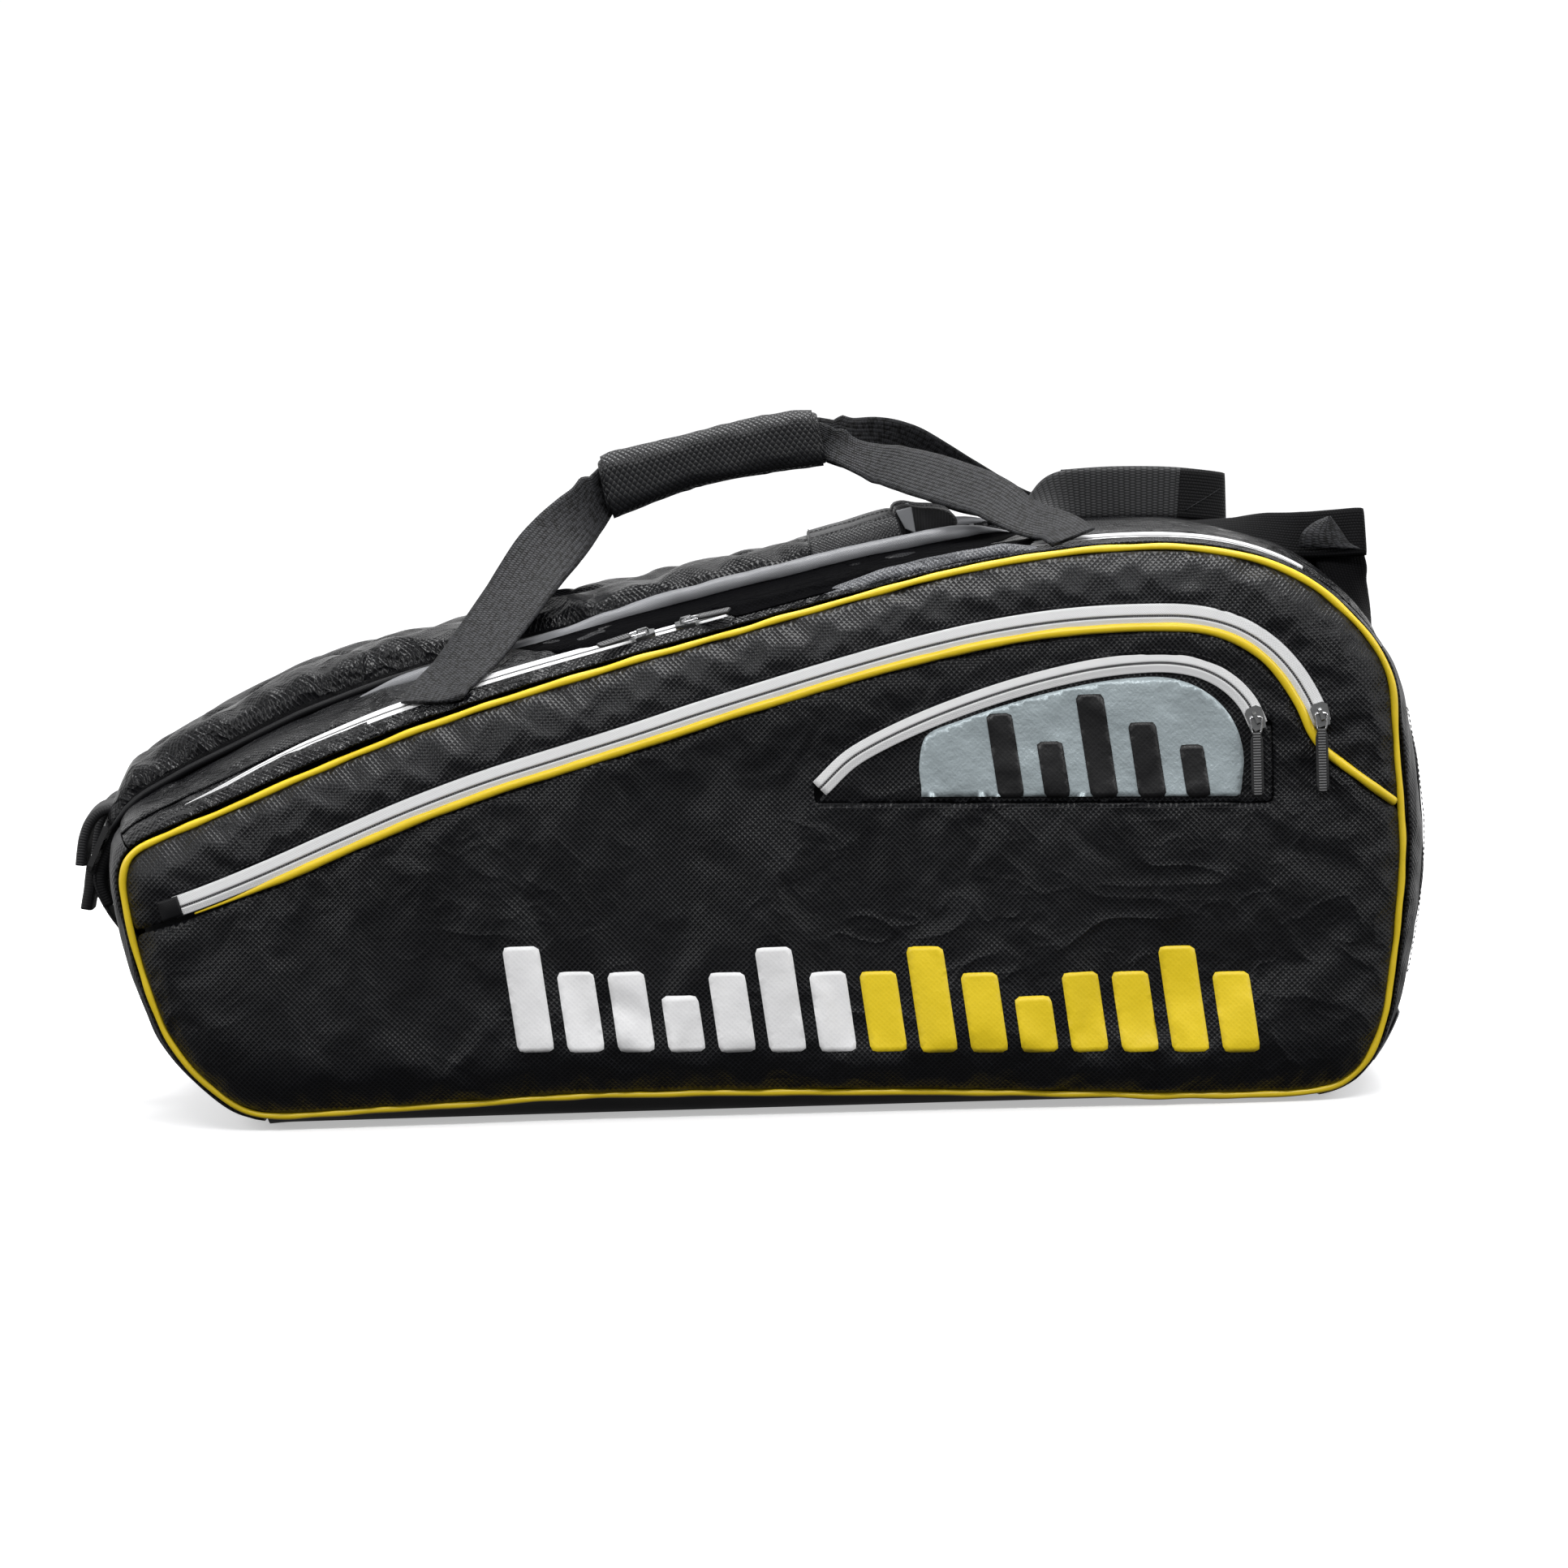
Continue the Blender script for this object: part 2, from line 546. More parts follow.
def rubber(name, base=(0.014, 0.014, 0.015)):
    g = G(name, base, 0.48, spec=0.5)
    u, v = g.uv()
    rows = g.m1("ABSOLUTE", g.m1("SINE", g.m1("MULTIPLY", u, math.pi / 1.5)))
    side = g.ramp(g.m1("ABSOLUTE", v), 1.9, 2.3, 1.0, 0.0)
    h = g.m1("MULTIPLY", rows, side)
    n = g.noise(1.5, 3, 0.5)
    g.color(g.mix(g.m1("MULTIPLY", g.ramp(h, 0.55, 0.9), 0.8), base, (0.16, 0.16, 0.165)))
    g.rough(g.m1("ADD", 0.38, g.m1("MULTIPLY", n, 0.2)))
    g.bump(h, 0.0004, 0.9)
    return g.m


def lining_mat(name):
    g = G(name, (0.045, 0.047, 0.053), 0.75, spec=0.4, sheen=0.2)
    n = g.noise(0.9, 4, 0.6)
    f = g.noise(0.03, 3, 0.6)
    g.color(g.mix(g.m1("ADD", g.m1("MULTIPLY", n, 0.5), g.m1("MULTIPLY", f, 0.5)), (0.030, 0.031, 0.036), (0.065, 0.068, 0.075)))
    g.rough(g.m1("ADD", 0.65, g.m1("MULTIPLY", n, 0.2)))
    g.bump(n, 0.0002, 0.6)
    return g.m


MT = {
    "groove": ripstop("groove_cloth", base=(0.0011, 0.0011, 0.0014), rough=0.7, pitch=3.0, depth=0.0002, spec=0.012, sheen=0.0, fold=0.003, size=34.0),
    "web_dark": webbing_mat("webbing_inner", base=(0.0026, 0.0026, 0.0030), rough=0.60, spec=0.14),
    "web_loop": webbing_mat("webbing_loop", base=(0.0105, 0.0107, 0.0116), rough=0.52, rib=3.2, cross=True),
    "fold": plain_nylon("fold_cloth", base=(0.19, 0.195, 0.205), rough=0.5, sheen=0.0, spec=0.3),
    "shell": ripstop("shell_cloth"),
    "strip": ripstop("strip_cloth", base=(0.0019, 0.0020, 0.0026), rough=0.22, pitch=3.1, depth=0.00028, spec=0.19, fold=0.0046, size=32.0),
    "pad": ripstop("pad_cloth", base=(0.0022, 0.0023, 0.0030), rough=0.26, pitch=3.0, depth=0.00028, spec=0.17, sheen=0.01, thread=4.0, fold=0.0036, size=38.0),
    "tab": ripstop("tab_cloth", base=(0.0040, 0.0042, 0.0052), rough=0.40, pitch=2.4, depth=0.00024, spec=0.32, sheen=0.02, thread=4.0, fold=0.0008, size=50.0),
    "plain": plain_nylon("plain_cloth"),
    "lip": ripstop("lip_cloth", base=(0.052, 0.054, 0.060), rough=0.36, pitch=2.6, depth=0.0003, spec=0.4, sheen=0.02, fold=0.003, size=24.0),
    "roll": plain_nylon("roll_cloth", base=(0.140, 0.143, 0.152), rough=0.38, sheen=0.03, spec=0.4),
    "band": plain_nylon("band_cloth", base=(0.034, 0.035, 0.040), rough=0.38, sheen=0.03, spec=0.4),
    "web": webbing_mat("handle_webbing", base=(0.0074, 0.0076, 0.0086), rough=0.54, rib=2.8, spec=0.19, speck=0.95),
    "web_black": webbing_mat("webbing_folded", base=(0.0014, 0.0014, 0.0017), rough=0.70, spec=0.06),
    "web_fine": webbing_mat("strap_webbing", base=(0.0072, 0.0072, 0.0080), rough=0.52, rib=1.4),
    "zip": zip_tape_mat("zip_tape_cloth"),
    "teeth": plastic("zip_coil", base=(0.16, 0.16, 0.165), rough=0.35),
    "pipe": vinyl("piping_vinyl"),
    "metal": metal("slider_nickel"),
    "chrome": metal("puller_link", base=(0.62, 0.62, 0.63), rough=0.18),
    "rubber": rubber("puller_rubber_ribbed"),
    "plastic": plastic("buckle_acetal", coat=0.9),
    "silver": film("silver_sheet", (0.40, 0.465, 0.49), 0.36, metallic=0.25, wrinkle=0.0008),
    "white": film("print_white", (0.90, 0.90, 0.92), 0.45),
    "yellow": film("print_yellow", (0.90, 0.66, 0.015), 0.42),
    "black": film("print_black", (0.006, 0.006, 0.007), 0.42),
    "grip": honeycomb("grip_wrap"),
    "lining": lining_mat("lining_cloth"),
    "reflect": film("reflective_sheet", (0.50, 0.51, 0.53), 0.3, metallic=0.5, weave=1.4),
    "thread": plastic("thread_black", base=(0.02, 0.02, 0.022), rough=0.6),
    "thread_y": vinyl("thread_yellow"),
}


# ------------------------------------------------------------------ mesh builders
def make(name, co, faces, uv=None, mat="shell", body="root", rep=(), slot=None, flat=False):
    """A mesh from working coordinates (mm). uv is per corner, in mm."""
    me = bpy.data.meshes.new(name)
    me.from_pydata(((np.asarray(co, float) + SH) * MM).tolist(), [], [list(map(int, f)) for f in faces])
    me.update()
    if uv is not None:
        layer = me.uv_layers.new(name="flat")
        layer.data.foreach_set("uv", (np.asarray(uv, np.float32) * MM).ravel())
    if not flat:
        me.polygons.foreach_set("use_smooth", [True] * len(me.polygons))
    o = bpy.data.objects.new(name, me)
    scene.collection.objects.link(o)
    me.materials.append(MT[mat])
    o["_body"], o["_rep"], o["_slot"] = body, list(rep), slot or ""
    MADE.append(o)
    return o


MADE = []


def grid_faces(nu, nv, cu, cv):
    I, J = np.meshgrid(np.arange(nu if cu else nu - 1), np.arange(nv if cv else nv - 1), indexing="ij")
    I, J = I.ravel(), J.ravel()
    I1, J1 = (I + 1) % nu, (J + 1) % nv
    F = np.stack([I * nv + J, I1 * nv + J, I1 * nv + J1, I * nv + J1], 1)
    return F, I, J


def grid(name, P, UV=None, cu=False, cv=False, caps=False, flip=False, **kw):
    """A quad grid P (nu, nv, 3). UV is (nu + cu, nv + cv, 2) in mm."""
    nu, nv = P.shape[:2]
    F, I, J = grid_faces(nu, nv, cu, cv)
    if UV is None:
        du = np.linalg.norm(np.diff(P, axis=0, append=P[:1] if cu else P[-1:]), axis=2).mean(1)
        dv = np.linalg.norm(np.diff(P, axis=1, append=P[:, :1] if cv else P[:, -1:]), axis=2).mean(0)
        u, v = np.concatenate([[0], np.cumsum(du)]), np.concatenate([[0], np.cumsum(dv)])
        UV = np.stack(np.meshgrid(u, v - v[-1] / 2, indexing="ij"), -1)
    quad = np.stack([UV[I, J], UV[I + 1, J], UV[I + 1, J + 1], UV[I, J + 1]], 1)
    faces = F
    if flip:
        faces, quad = F[:, ::-1], quad[:, ::-1]
    faces = faces.tolist()
    corner = quad.reshape(-1, 2)
    if caps and cv:
        a = list(range(nv)) if not flip else list(range(nv))[::-1]
        b = [(nu - 1) * nv + j for j in range(nv)][::-1] if not flip else [(nu - 1) * nv + j for j in range(nv)]
        faces += [a, b]
        q = P.reshape(-1, 3)
        corner = np.vstack([corner, q[a][:, [0, 1]], q[b][:, [0, 1]]])
    return make(name, P.reshape(-1, 3), faces, corner, **kw)


def sweep(name, path, side, up, profile, closed=True, vshift=0.0, **kw):
    """profile (m, 2): across and up, in mm."""
    prof = np.asarray(profile, float)
    P = path[:, None] + side[:, None] * prof[None, :, :1] + up[:, None] * prof[None, :, 1:]
    m = len(prof)
    u = np.concatenate([[0], np.cumsum(np.linalg.norm(np.diff(path, axis=0), axis=1))])
    v = (np.concatenate([prof[:, 0], prof[:1, 0]]) if closed else prof[:, 0]) - vshift
    UV = np.stack(np.meshgrid(u, v, indexing="ij"), -1)
    return grid(name, P, UV, cv=closed, caps=closed, **kw)


def tube(name, path, radius, sides=12, up=None, closed=False, **kw):
    t = unit(np.gradient(path, axis=0)) if not closed else unit(np.roll(path, -1, 0) - np.roll(path, 1, 0))
    up = np.broadcast_to(np.array([0, 1.0, 0]) if up is None else np.asarray(up, float), path.shape)
    s = unit(np.cross(t, up))
    w = unit(np.cross(s, t))
    r = np.broadcast_to(np.asarray(radius, float), (len(path),))[:, None, None]
    a = np.linspace(0, 2 * math.pi, sides, endpoint=False)
    P = path[:, None] + r * (s[:, None] * np.cos(a)[None, :, None] + w[:, None] * np.sin(a)[None, :, None])
    return grid(name, P, cu=closed, cv=True, caps=not closed, **kw)


def box_profile(w, h, r=0.5, n=3, base=0.0):
    """A rounded rectangle w wide, from base to base + h."""
    r = min(r, h / 2 - 0.01, w / 2 - 0.01)
    out = []
    for cx, cy, a0 in ((w / 2 - r, h - r, 0), (-w / 2 + r, h - r, 90), (-w / 2 + r, r, 180), (w / 2 - r, r, 270)):
        for k in range(n + 1):
            a = math.radians(a0 + 90 * k / n)
            out.append([cx + r * math.cos(a), base + cy + r * math.sin(a)])
    return out


def rows(profile, n):
    """Adds points along the long sides of a profile."""
    p = np.asarray(profile, float)
    out = []
    for i in range(len(p)):
        a, b = p[i], p[(i + 1) % len(p)]
        k = max(1, int(np.linalg.norm(b - a) / n))
        for j in range(k):
            out.append(a + (b - a) * j / k)
    return np.array(out)


def in_poly(P, poly):
    x, y = P[:, 0], P[:, 1]
    inside_ = np.zeros(len(P), bool)
    a = poly
    b = np.roll(poly, -1, 0)
    for (x0, y0), (x1, y1) in zip(a, b):
        if y0 == y1:
            continue
        hit = ((y0 > y) != (y1 > y)) & (x < (x1 - x0) * (y - y0) / (y1 - y0) + x0)
        inside_ ^= hit
    return inside_


def cloth_sheet(name, polys, step, height, **kw):
    """An even triangle mesh of a flat region (first loop less the others), lifted by height(xz) -> y."""
    loops = [resample(np.vstack([p, p[:1]]), step)[:-1] for p in polys]
    allb = np.vstack(loops)
    lo, hi = loops[0].min(0), loops[0].max(0)
    r3 = step * math.sqrt(3) / 2
    pts = []
    for k, z in enumerate(np.arange(lo[1], hi[1] + r3, r3)):
        pts.append(np.stack([np.arange(lo[0] + (k % 2) * step / 2, hi[0] + step, step), np.full(1, z).repeat(len(np.arange(lo[0] + (k % 2) * step / 2, hi[0] + step, step)))], 1))
    pts = np.vstack(pts)
    keep = in_poly(pts, loops[0])
    for h in loops[1:]:
        keep &= ~in_poly(pts, h)
    pts = pts[keep]
    kd = kdtree.KDTree(len(allb))
    for i, b in enumerate(allb):
        kd.insert((b[0], b[1], 0), i)
    kd.balance()
    pts = np.array([p for p in pts if kd.find((p[0], p[1], 0))[2] > 0.55 * step]).reshape(-1, 2)
    edges, n = [], 0
    for lp in loops:
        edges += [(n + i, n + (i + 1) % len(lp)) for i in range(len(lp))]
        n += len(lp)
    co = np.vstack([allb, pts])
    v, _, f, *_ = geometry.delaunay_2d_cdt([Vector(p) for p in co], edges, [], 0, 1e-4)
    v = np.array([tuple(p) for p in v])
    f = np.array([list(t) for t in f if len(t) == 3])
    c = v[f].mean(1)
    keep = in_poly(c, loops[0])
    for h in loops[1:]:
        keep &= ~in_poly(c, h)
    f = f[keep]
    used = np.unique(f)
    remap = -np.ones(len(v), int)
    remap[used] = np.arange(len(used))
    v, f = v[used], remap[f]
    # outward is -y: triangles clockwise in (x, z) seen from the front
    a, b, c = v[f[:, 0]], v[f[:, 1]], v[f[:, 2]]
    area = (b[:, 0] - a[:, 0]) * (c[:, 1] - a[:, 1]) - (b[:, 1] - a[:, 1]) * (c[:, 0] - a[:, 0])
    f[area < 0] = f[area < 0][:, ::-1]
    if kw.pop("back", False):
        f = f[:, ::-1]
    y = height(v)
    P = np.stack([v[:, 0], y, v[:, 1]], 1)
    o = make(name, P, f, v[f].reshape(-1, 2), **kw)
    bd = np.array([kd.find((p[0], p[1], 0))[2] for p in v])
    return o, v, bd


def get_co(o):
    co = np.zeros(len(o.data.vertices) * 3, np.float32)
    o.data.vertices.foreach_get("co", co)
    return co.reshape(-1, 3).astype(float)


def set_co(o, co):
    o.data.vertices.foreach_set("co", np.asarray(co, np.float32).ravel())
    o.data.update()


def normals(o):
    n = np.zeros(len(o.data.vertices) * 3, np.float32)
    o.data.vertex_normals.foreach_get("vector", n)
    return n.reshape(-1, 3).astype(float)


def push(o, d):
    """Moves the vertices along their normals, in mm."""
    set_co(o, get_co(o) + normals(o) * (np.asarray(d)[:, None] * MM))


def wrinkle(o, pin, grow=0.012, pressure=0.0, frames=18, bend=0.4, tension=12, out_cap=4.0, in_cap=1.5, mass=0.15, volume=False, seed=1, start=0.35, grain=26):
    """Cloth simulation of a slightly oversized cover held at its seams; pin is 0 to 1 for each vertex."""
    push(o, (1 - pin) * start * waves(get_co(o) * 1000, grain, seed))
    rest, nor = get_co(o), normals(o)
    g = o.vertex_groups.new(name="pin")
    for i, w in enumerate(pin):
        if w > 0.004:
            g.add([i], float(min(1, w)), "REPLACE")
    m = o.modifiers.new("Cloth", "CLOTH")
    s = m.settings
    s.quality = 4
    s.mass = mass
    s.air_damping = 2.0
    s.tension_stiffness = s.compression_stiffness = tension
    s.shear_stiffness = 4
    s.bending_stiffness = bend
    s.tension_damping = s.compression_damping = 8
    s.bending_damping = 1.0
    s.vertex_group_mass = "pin"
    s.pin_stiffness = 1.0
    s.shrink_min = -grow
    s.effector_weights.gravity = 0
    if pressure:
        s.use_pressure = True
        s.uniform_pressure_force = pressure
        if not volume:
            s.use_pressure_volume = False
    m.collision_settings.use_collision = False
    m.collision_settings.use_self_collision = False
    m.point_cache.frame_start, m.point_cache.frame_end = 1, frames
    for f in range(1, frames + 1):
        scene.frame_set(f)
    dg = bpy.context.evaluated_depsgraph_get()
    e = o.evaluated_get(dg)
    co = np.zeros(len(e.data.vertices) * 3, np.float32)
    e.data.vertices.foreach_get("co", co)
    co = co.reshape(-1, 3).astype(float)
    o.modifiers.remove(m)
    o.vertex_groups.clear()
    scene.frame_set(1)
    if not np.isfinite(co).all() or np.abs(co - rest).max() > 0.3:
        print("CLOTH failed on", o.name)
        co = rest
    d = (co - rest) * 1000
    dn = (d * nor).sum(1)
    dt = d - nor * dn[:, None]
    print("cloth", o.name, len(co), "normal", dn.min().round(2), dn.max().round(2), "rms", round(float(np.sqrt((dn ** 2).mean())), 2))
    dn = np.where(dn > 0, out_cap * np.tanh(dn / out_cap), in_cap * np.tanh(dn / in_cap))
    tl = np.linalg.norm(dt, axis=1, keepdims=True)
    dt = dt * np.minimum(1, 2.0 / np.maximum(tl, 1e-9))
    set_co(o, rest + (dt + nor * dn[:, None]) / 1000)


def thick(o, t, offset=-1.0):
    m = o.modifiers.new("Solid", "SOLIDIFY")
    m.thickness = t * MM
    m.offset = offset
    return o


def subdivide(o, n=1):
    m = o.modifiers.new("Sub", "SUBSURF")
    m.levels = m.render_levels = n
    m.boundary_smooth = "PRESERVE_CORNERS"
    return o


def bevel(o, w, seg=2):
    m = o.modifiers.new("Bevel", "BEVEL")
    m.width = w * MM
    m.segments = seg
    m.limit_method = "ANGLE"
    m.angle_limit = math.radians(35)
    return o


def stitches(name, path, out, pitch=3.1, run=2.1, r=0.32, lift=0.1, **kw):
    """A row of lock stitches along a path (n, 3), lying on a surface with normals out."""
    s = np.concatenate([[0], np.cumsum(np.linalg.norm(np.diff(path, axis=0), axis=1))])
    n = int(s[-1] / pitch)
    if n < 1:
        return None
    V_, F_, U_ = [], [], []
    offs = np.array([-0.5, -0.25, 0.25, 0.5])
    rad = np.array([0.35, 1.0, 1.0, 0.35])
    drop = np.array([-0.55, 0.0, 0.0, -0.55])
    at = lambda x, A: np.stack([np.interp(x, s, A[:, k]) for k in range(3)], -1)
    for i in range(n):
        c = (i + 0.5) * pitch
        base = len(V_)
        for k in range(4):
            x = c + offs[k] * run
            p = at(x, path)
            o_ = unit(at(x, out))
            t = unit(at(min(s[-1], x + 0.5), path) - at(max(0, x - 0.5), path))
            sd = np.cross(t, o_)
            q = p + o_ * (lift + drop[k] * r)
            for a in range(5):
                an = 2 * math.pi * a / 5
                V_.append(q + (sd * math.cos(an) + o_ * math.sin(an)) * r * rad[k])
        for k in range(3):
            for a in range(5):
                b = (a + 1) % 5
                F_.append([base + k * 5 + a, base + k * 5 + b, base + (k + 1) * 5 + b, base + (k + 1) * 5 + a])
        F_.append([base + a for a in range(5)][::-1])
        F_.append([base + 15 + a for a in range(5)])
    return make(name, np.array(V_), F_, None, **{"mat": "thread", **kw})


def zip_chain(name, path, out, half=5.3, teeth=True, shift=0.0, taper=None, slot="zip_tape", **kw):
    """Two tapes that fold down to a closed coil along path, with normals out."""
    t = unit(np.gradient(path, axis=0))
    side = unit(np.cross(t, out))
    c = shift
    prof = np.array([[-half, -0.9], [-half, 0.1], [-half + 0.4, 0.34], [-half + 1.6, 0.50], [c - 2.6, 0.75], [c - 1.5, 1.0], [c - 0.75, 0.95], [c - 0.42, 0.45], [c - 0.36, -0.3],
                     [c + 0.36, -0.3], [c + 0.42, 0.45], [c + 0.75, 0.95], [c + 1.5, 1.0], [c + 2.6, 0.62], [half - 1.2, 0.42], [half - 0.4, 0.34], [half, 0.1], [half, -0.9]])
    wide_ = side if taper is None else side * np.asarray(taper)[:, None]
    o = sweep(name, path, wide_, out, prof, vshift=c, mat="zip", slot=slot, **kw)
    path = path + side * c
    if teeth:
        L = np.concatenate([[0], np.cumsum(np.linalg.norm(np.diff(path, axis=0), axis=1))])
        n = int(L[-1] / 1.35)
        c = (np.arange(n) + 0.5) * L[-1] / n
        at = lambda A: np.stack([np.interp(c, L, A[:, k]) for k in range(3)], -1)
        p, tt, ss, oo = at(path), unit(at(t)), unit(at(side)), unit(at(out))
        V_, F_ = [], []
        for i in range(n):
            sg = 0.18 if i % 2 else -0.18
            b = len(V_)
            for a, h, w in ((-0.36, -0.2, 0.9), (0.36, -0.2, 0.9), (0.36, 0.42, 0.6), (-0.36, 0.42, 0.6)):
                for e in (-1, 1):
                    V_.append(p[i] + tt[i] * a + oo[i] * h + ss[i] * (e * w + sg))
            F_ += [[b, b + 1, b + 3, b + 2], [b + 2, b + 3, b + 5, b + 4], [b + 4, b + 5, b + 7, b + 6], [b + 6, b + 7, b + 1, b], [b, b + 2, b + 4, b + 6], [b + 1, b + 7, b + 5, b + 3]]
        kw2 = {k: v for k, v in kw.items() if k == "body"}
        make(name + "_coil", np.array(V_), F_, None, mat="teeth", slot=slot, **kw2)
    return o


def ribbon(name, centre, across, width, t=WEB_T, mat="web", curl=0.0, sag=None, slot="webbing_black", **kw):
    """A flat webbing along centre, its width along across, with rounded selvedges."""
    tang = unit(np.gradient(centre, axis=0))
    a = unit(across - tang * (across * tang).sum(1, keepdims=True))
    up = unit(np.cross(tang, a))
    width = np.broadcast_to(np.asarray(width, float), (len(centre),))
    n = 13
    v = np.linspace(-0.5, 0.5, n)
    th = t * (1 - 0.45 * np.power(np.abs(2 * v), 8))
    cup = curl * (v ** 2) * 4
    ring = [(v[j], th[j] / 2, cup[j]) for j in range(n)] + [(v[j], -th[j] / 2, cup[j]) for j in range(n)][::-1]
    P = np.zeros((len(centre), len(ring), 3))
    for k, (vv, hh, cc) in enumerate(ring):
        P[:, k] = centre + a * (vv * width)[:, None] + up * (hh + cc)
    u = np.concatenate([[0], np.cumsum(np.linalg.norm(np.diff(centre, axis=0), axis=1))])
    W = float(width.max())
    vr = np.array([r_[0] * W for r_ in ring] + [ring[0][0] * W])
    UV = np.stack(np.meshgrid(u, vr, indexing="ij"), -1)
    return grid(name, P, UV, cv=True, caps=True, mat=mat, slot=slot, **kw)


# ------------------------------------------------------------------ front and rear panels
archF = catmull(ARCH, 700)
arch_in = inside(archF)
zmask = (archF[:, 0] > -309.0) & (archF[:, 0] < 312) & (archF[:, 1] > 116) & ~((archF[:, 0] > 300) & (archF[:, 1] < 205))
zip_lo, zip_hi = ARCH_PIPE_R + 0.45, ARCH_PIPE_R + 0.45 + ZIP_W
ring_in = OP - ON * 2.1


def arch_side(P):
    kd = kdtree.KDTree(len(archF))
    for i, p in enumerate(archF):
        kd.insert((p[0], p[1], 0), i)
    kd.balance()
    t = unit(np.gradient(archF, axis=0))
    out = np.zeros(len(P))
    for k, p in enumerate(P):
        _, i, _ = kd.find((p[0], p[1], 0))
        i = min(max(i, 1), len(archF) - 2)
        out[k] = -(p[0] - archF[i, 0]) * t[i, 1] + (p[1] - archF[i, 1]) * t[i, 0]
    return out


ring_side = arch_side(ring_in)
off_up = np.where(zmask, zip_hi - 1.2, ARCH_PIPE_R - 0.4)
upper_line = beside(archF, off_up)
lower_line = beside(archF, -(ARCH_PIPE_R - 0.4))


def run_of(mask):
    """The indices of the one cyclic run where mask holds."""
    n = len(mask)
    start = next(i for i in range(n) if mask[i] and not mask[i - 1])
    out = []
    k = start
    while mask[k % n] and len(out) < n:
        out.append(k % n)
        k += 1
    return out


up_ring = ring_in[run_of(ring_side > ARCH_PIPE_R - 0.4)][::3]
lo_ring = ring_in[run_of(ring_side < -(ARCH_PIPE_R - 0.4))][::3]
ul = upper_line[inside(upper_line) > 2.3]
ll = lower_line[inside(lower_line) > 2.3]
upper_poly = np.vstack([up_ring, ul[::-1]])
lower_poly = np.vstack([lo_ring, ll])

accF = catmull(ACCESSORY, 260)
acc_top = beside(accF, ZIP_W / 2 - 1.0)


def seam_z(x):
    return SEAM_L[1] + (SEAM_R[1] - SEAM_L[1]) * (x - SEAM_L[0]) / (SEAM_R[0] - SEAM_L[0])


window = np.vstack([[[38.0, seam_z(38.0)]], acc_top, [[287.2, acc_top[-1][1] + 1.0]], [[287.2, seam_z(287.2)]]])


def crown(P, seed, amp=1.3):
    d = inside(P)
    soft = smooth(d / 40)
    y = dish(d) + soft * amp * waves(P, 150, seed) + soft * 0.35 * waves(P, 46, seed + 5)
    edge = np.exp(-d / 11.0) * smooth(d / 3.0)
    pucker = waves(P, 17, seed + 9)
    return y + edge * 1.1 * pucker


def front_height(seed):
    def f(P):
        s = arch_side(P)
        dip_zip = 1.0 * np.exp(-np.clip(s - (zip_hi - 1.2), 0, None) / 3.5) * (s > 0) + 1.3 * np.exp(-np.clip(-s - 1.3, 0, None) / 4.5) * (s < 0)
        near = np.exp(-np.abs(s - np.where(s > 0, zip_hi, -1.3)) / 12.0)
        y = crown(P, seed) - dip_zip + near * 0.55 * waves(P, 21, seed + 3)
        return -y
    return f


STEP = 4.4
upper, uv_u, bd_u = cloth_sheet("front_panel_upper_cloth", [upper_poly], STEP, front_height(3), mat="shell", rep=["front_panel_upper"], slot="shell_ripstop")
lower, uv_l, bd_l = cloth_sheet("front_panel_lower_cloth", [lower_poly, window], STEP, front_height(4), mat="shell", rep=["front_panel_lower"], slot="shell_ripstop")
rear_poly = ring_in[::3]
rear, uv_r, bd_r = cloth_sheet("rear_panel_cloth", [rear_poly], STEP, lambda P: crown(P, 21), mat="shell", rep=["rear_panel"], slot="shell_ripstop", back=True)


def pin_edge(bd, w=3.0):
    return np.clip(1.0 - (bd - 0.5) / w, 0, 1) * (bd < w + 0.5)


wrinkle(upper, pin_edge(bd_u), grow=0.022, pressure=0.02, out_cap=3.2, in_cap=2.0, bend=0.35, seed=31, grain=26)
wrinkle(lower, pin_edge(bd_l), grow=0.012, pressure=0.02, out_cap=2.8, in_cap=1.8, bend=0.5, seed=32, grain=34)
wrinkle(rear, pin_edge(bd_r), grow=0.010, pressure=0.02, out_cap=3.0, in_cap=1.6, bend=0.6, seed=33, grain=36)
for o in (upper, lower, rear):
    thick(subdivide(o), 1.5)

dg = bpy.context.evaluated_depsgraph_get()


def bvh_of(*objs):
    co, fa, n = [], [], 0
    for o in objs:
        c = get_co(o)
        co.append(c)
        fa += [[i + n for i in p.vertices] for p in o.data.polygons]
        n += len(c)
    co = np.vstack(co)
    return BVHTree.FromPolygons([Vector(c) for c in co], fa)


front_bvh = bvh_of(upper, lower)


def front_y(P, default=PANEL_Y):
    """Outer face of the front panels at (x, z), as a positive distance, in working mm."""
    out = np.zeros(len(P))
    for k, p in enumerate(P):
        hit = front_bvh.ray_cast(Vector(((p[0] + SH[0]) * MM, -0.4, p[1] * MM)), Vector((0, 1, 0)), 0.6)
        out[k] = default if hit[0] is None else -(hit[0].y / MM - SH[1])
    return out


# piping round both panels
def soft_line(P, seed, amp):
    return P + amp * np.stack([waves(P, 34, seed), waves(P, 30, seed + 1), waves(P, 38, seed + 2)], 1)


for y, nm in ((-PIPE_Y, "front"), (PIPE_Y, "rear")):
    n = 700
    s = np.linspace(0, NO, n, endpoint=False)
    p, _ = outline_at(s)
    path = np.stack([p[:, 0], np.full(n, y - math.copysign(0.4, -y) * 0), p[:, 1]], 1)
    path = soft_line(path, 51 if y < 0 else 61, 0.28)
    tube(f"piping_{nm}_cord", path, PIPE_R + 0.25 * waves(path, 25, 7), 14, closed=True, mat="pipe", rep=[f"piping_{nm}"], slot="piping_yellow")

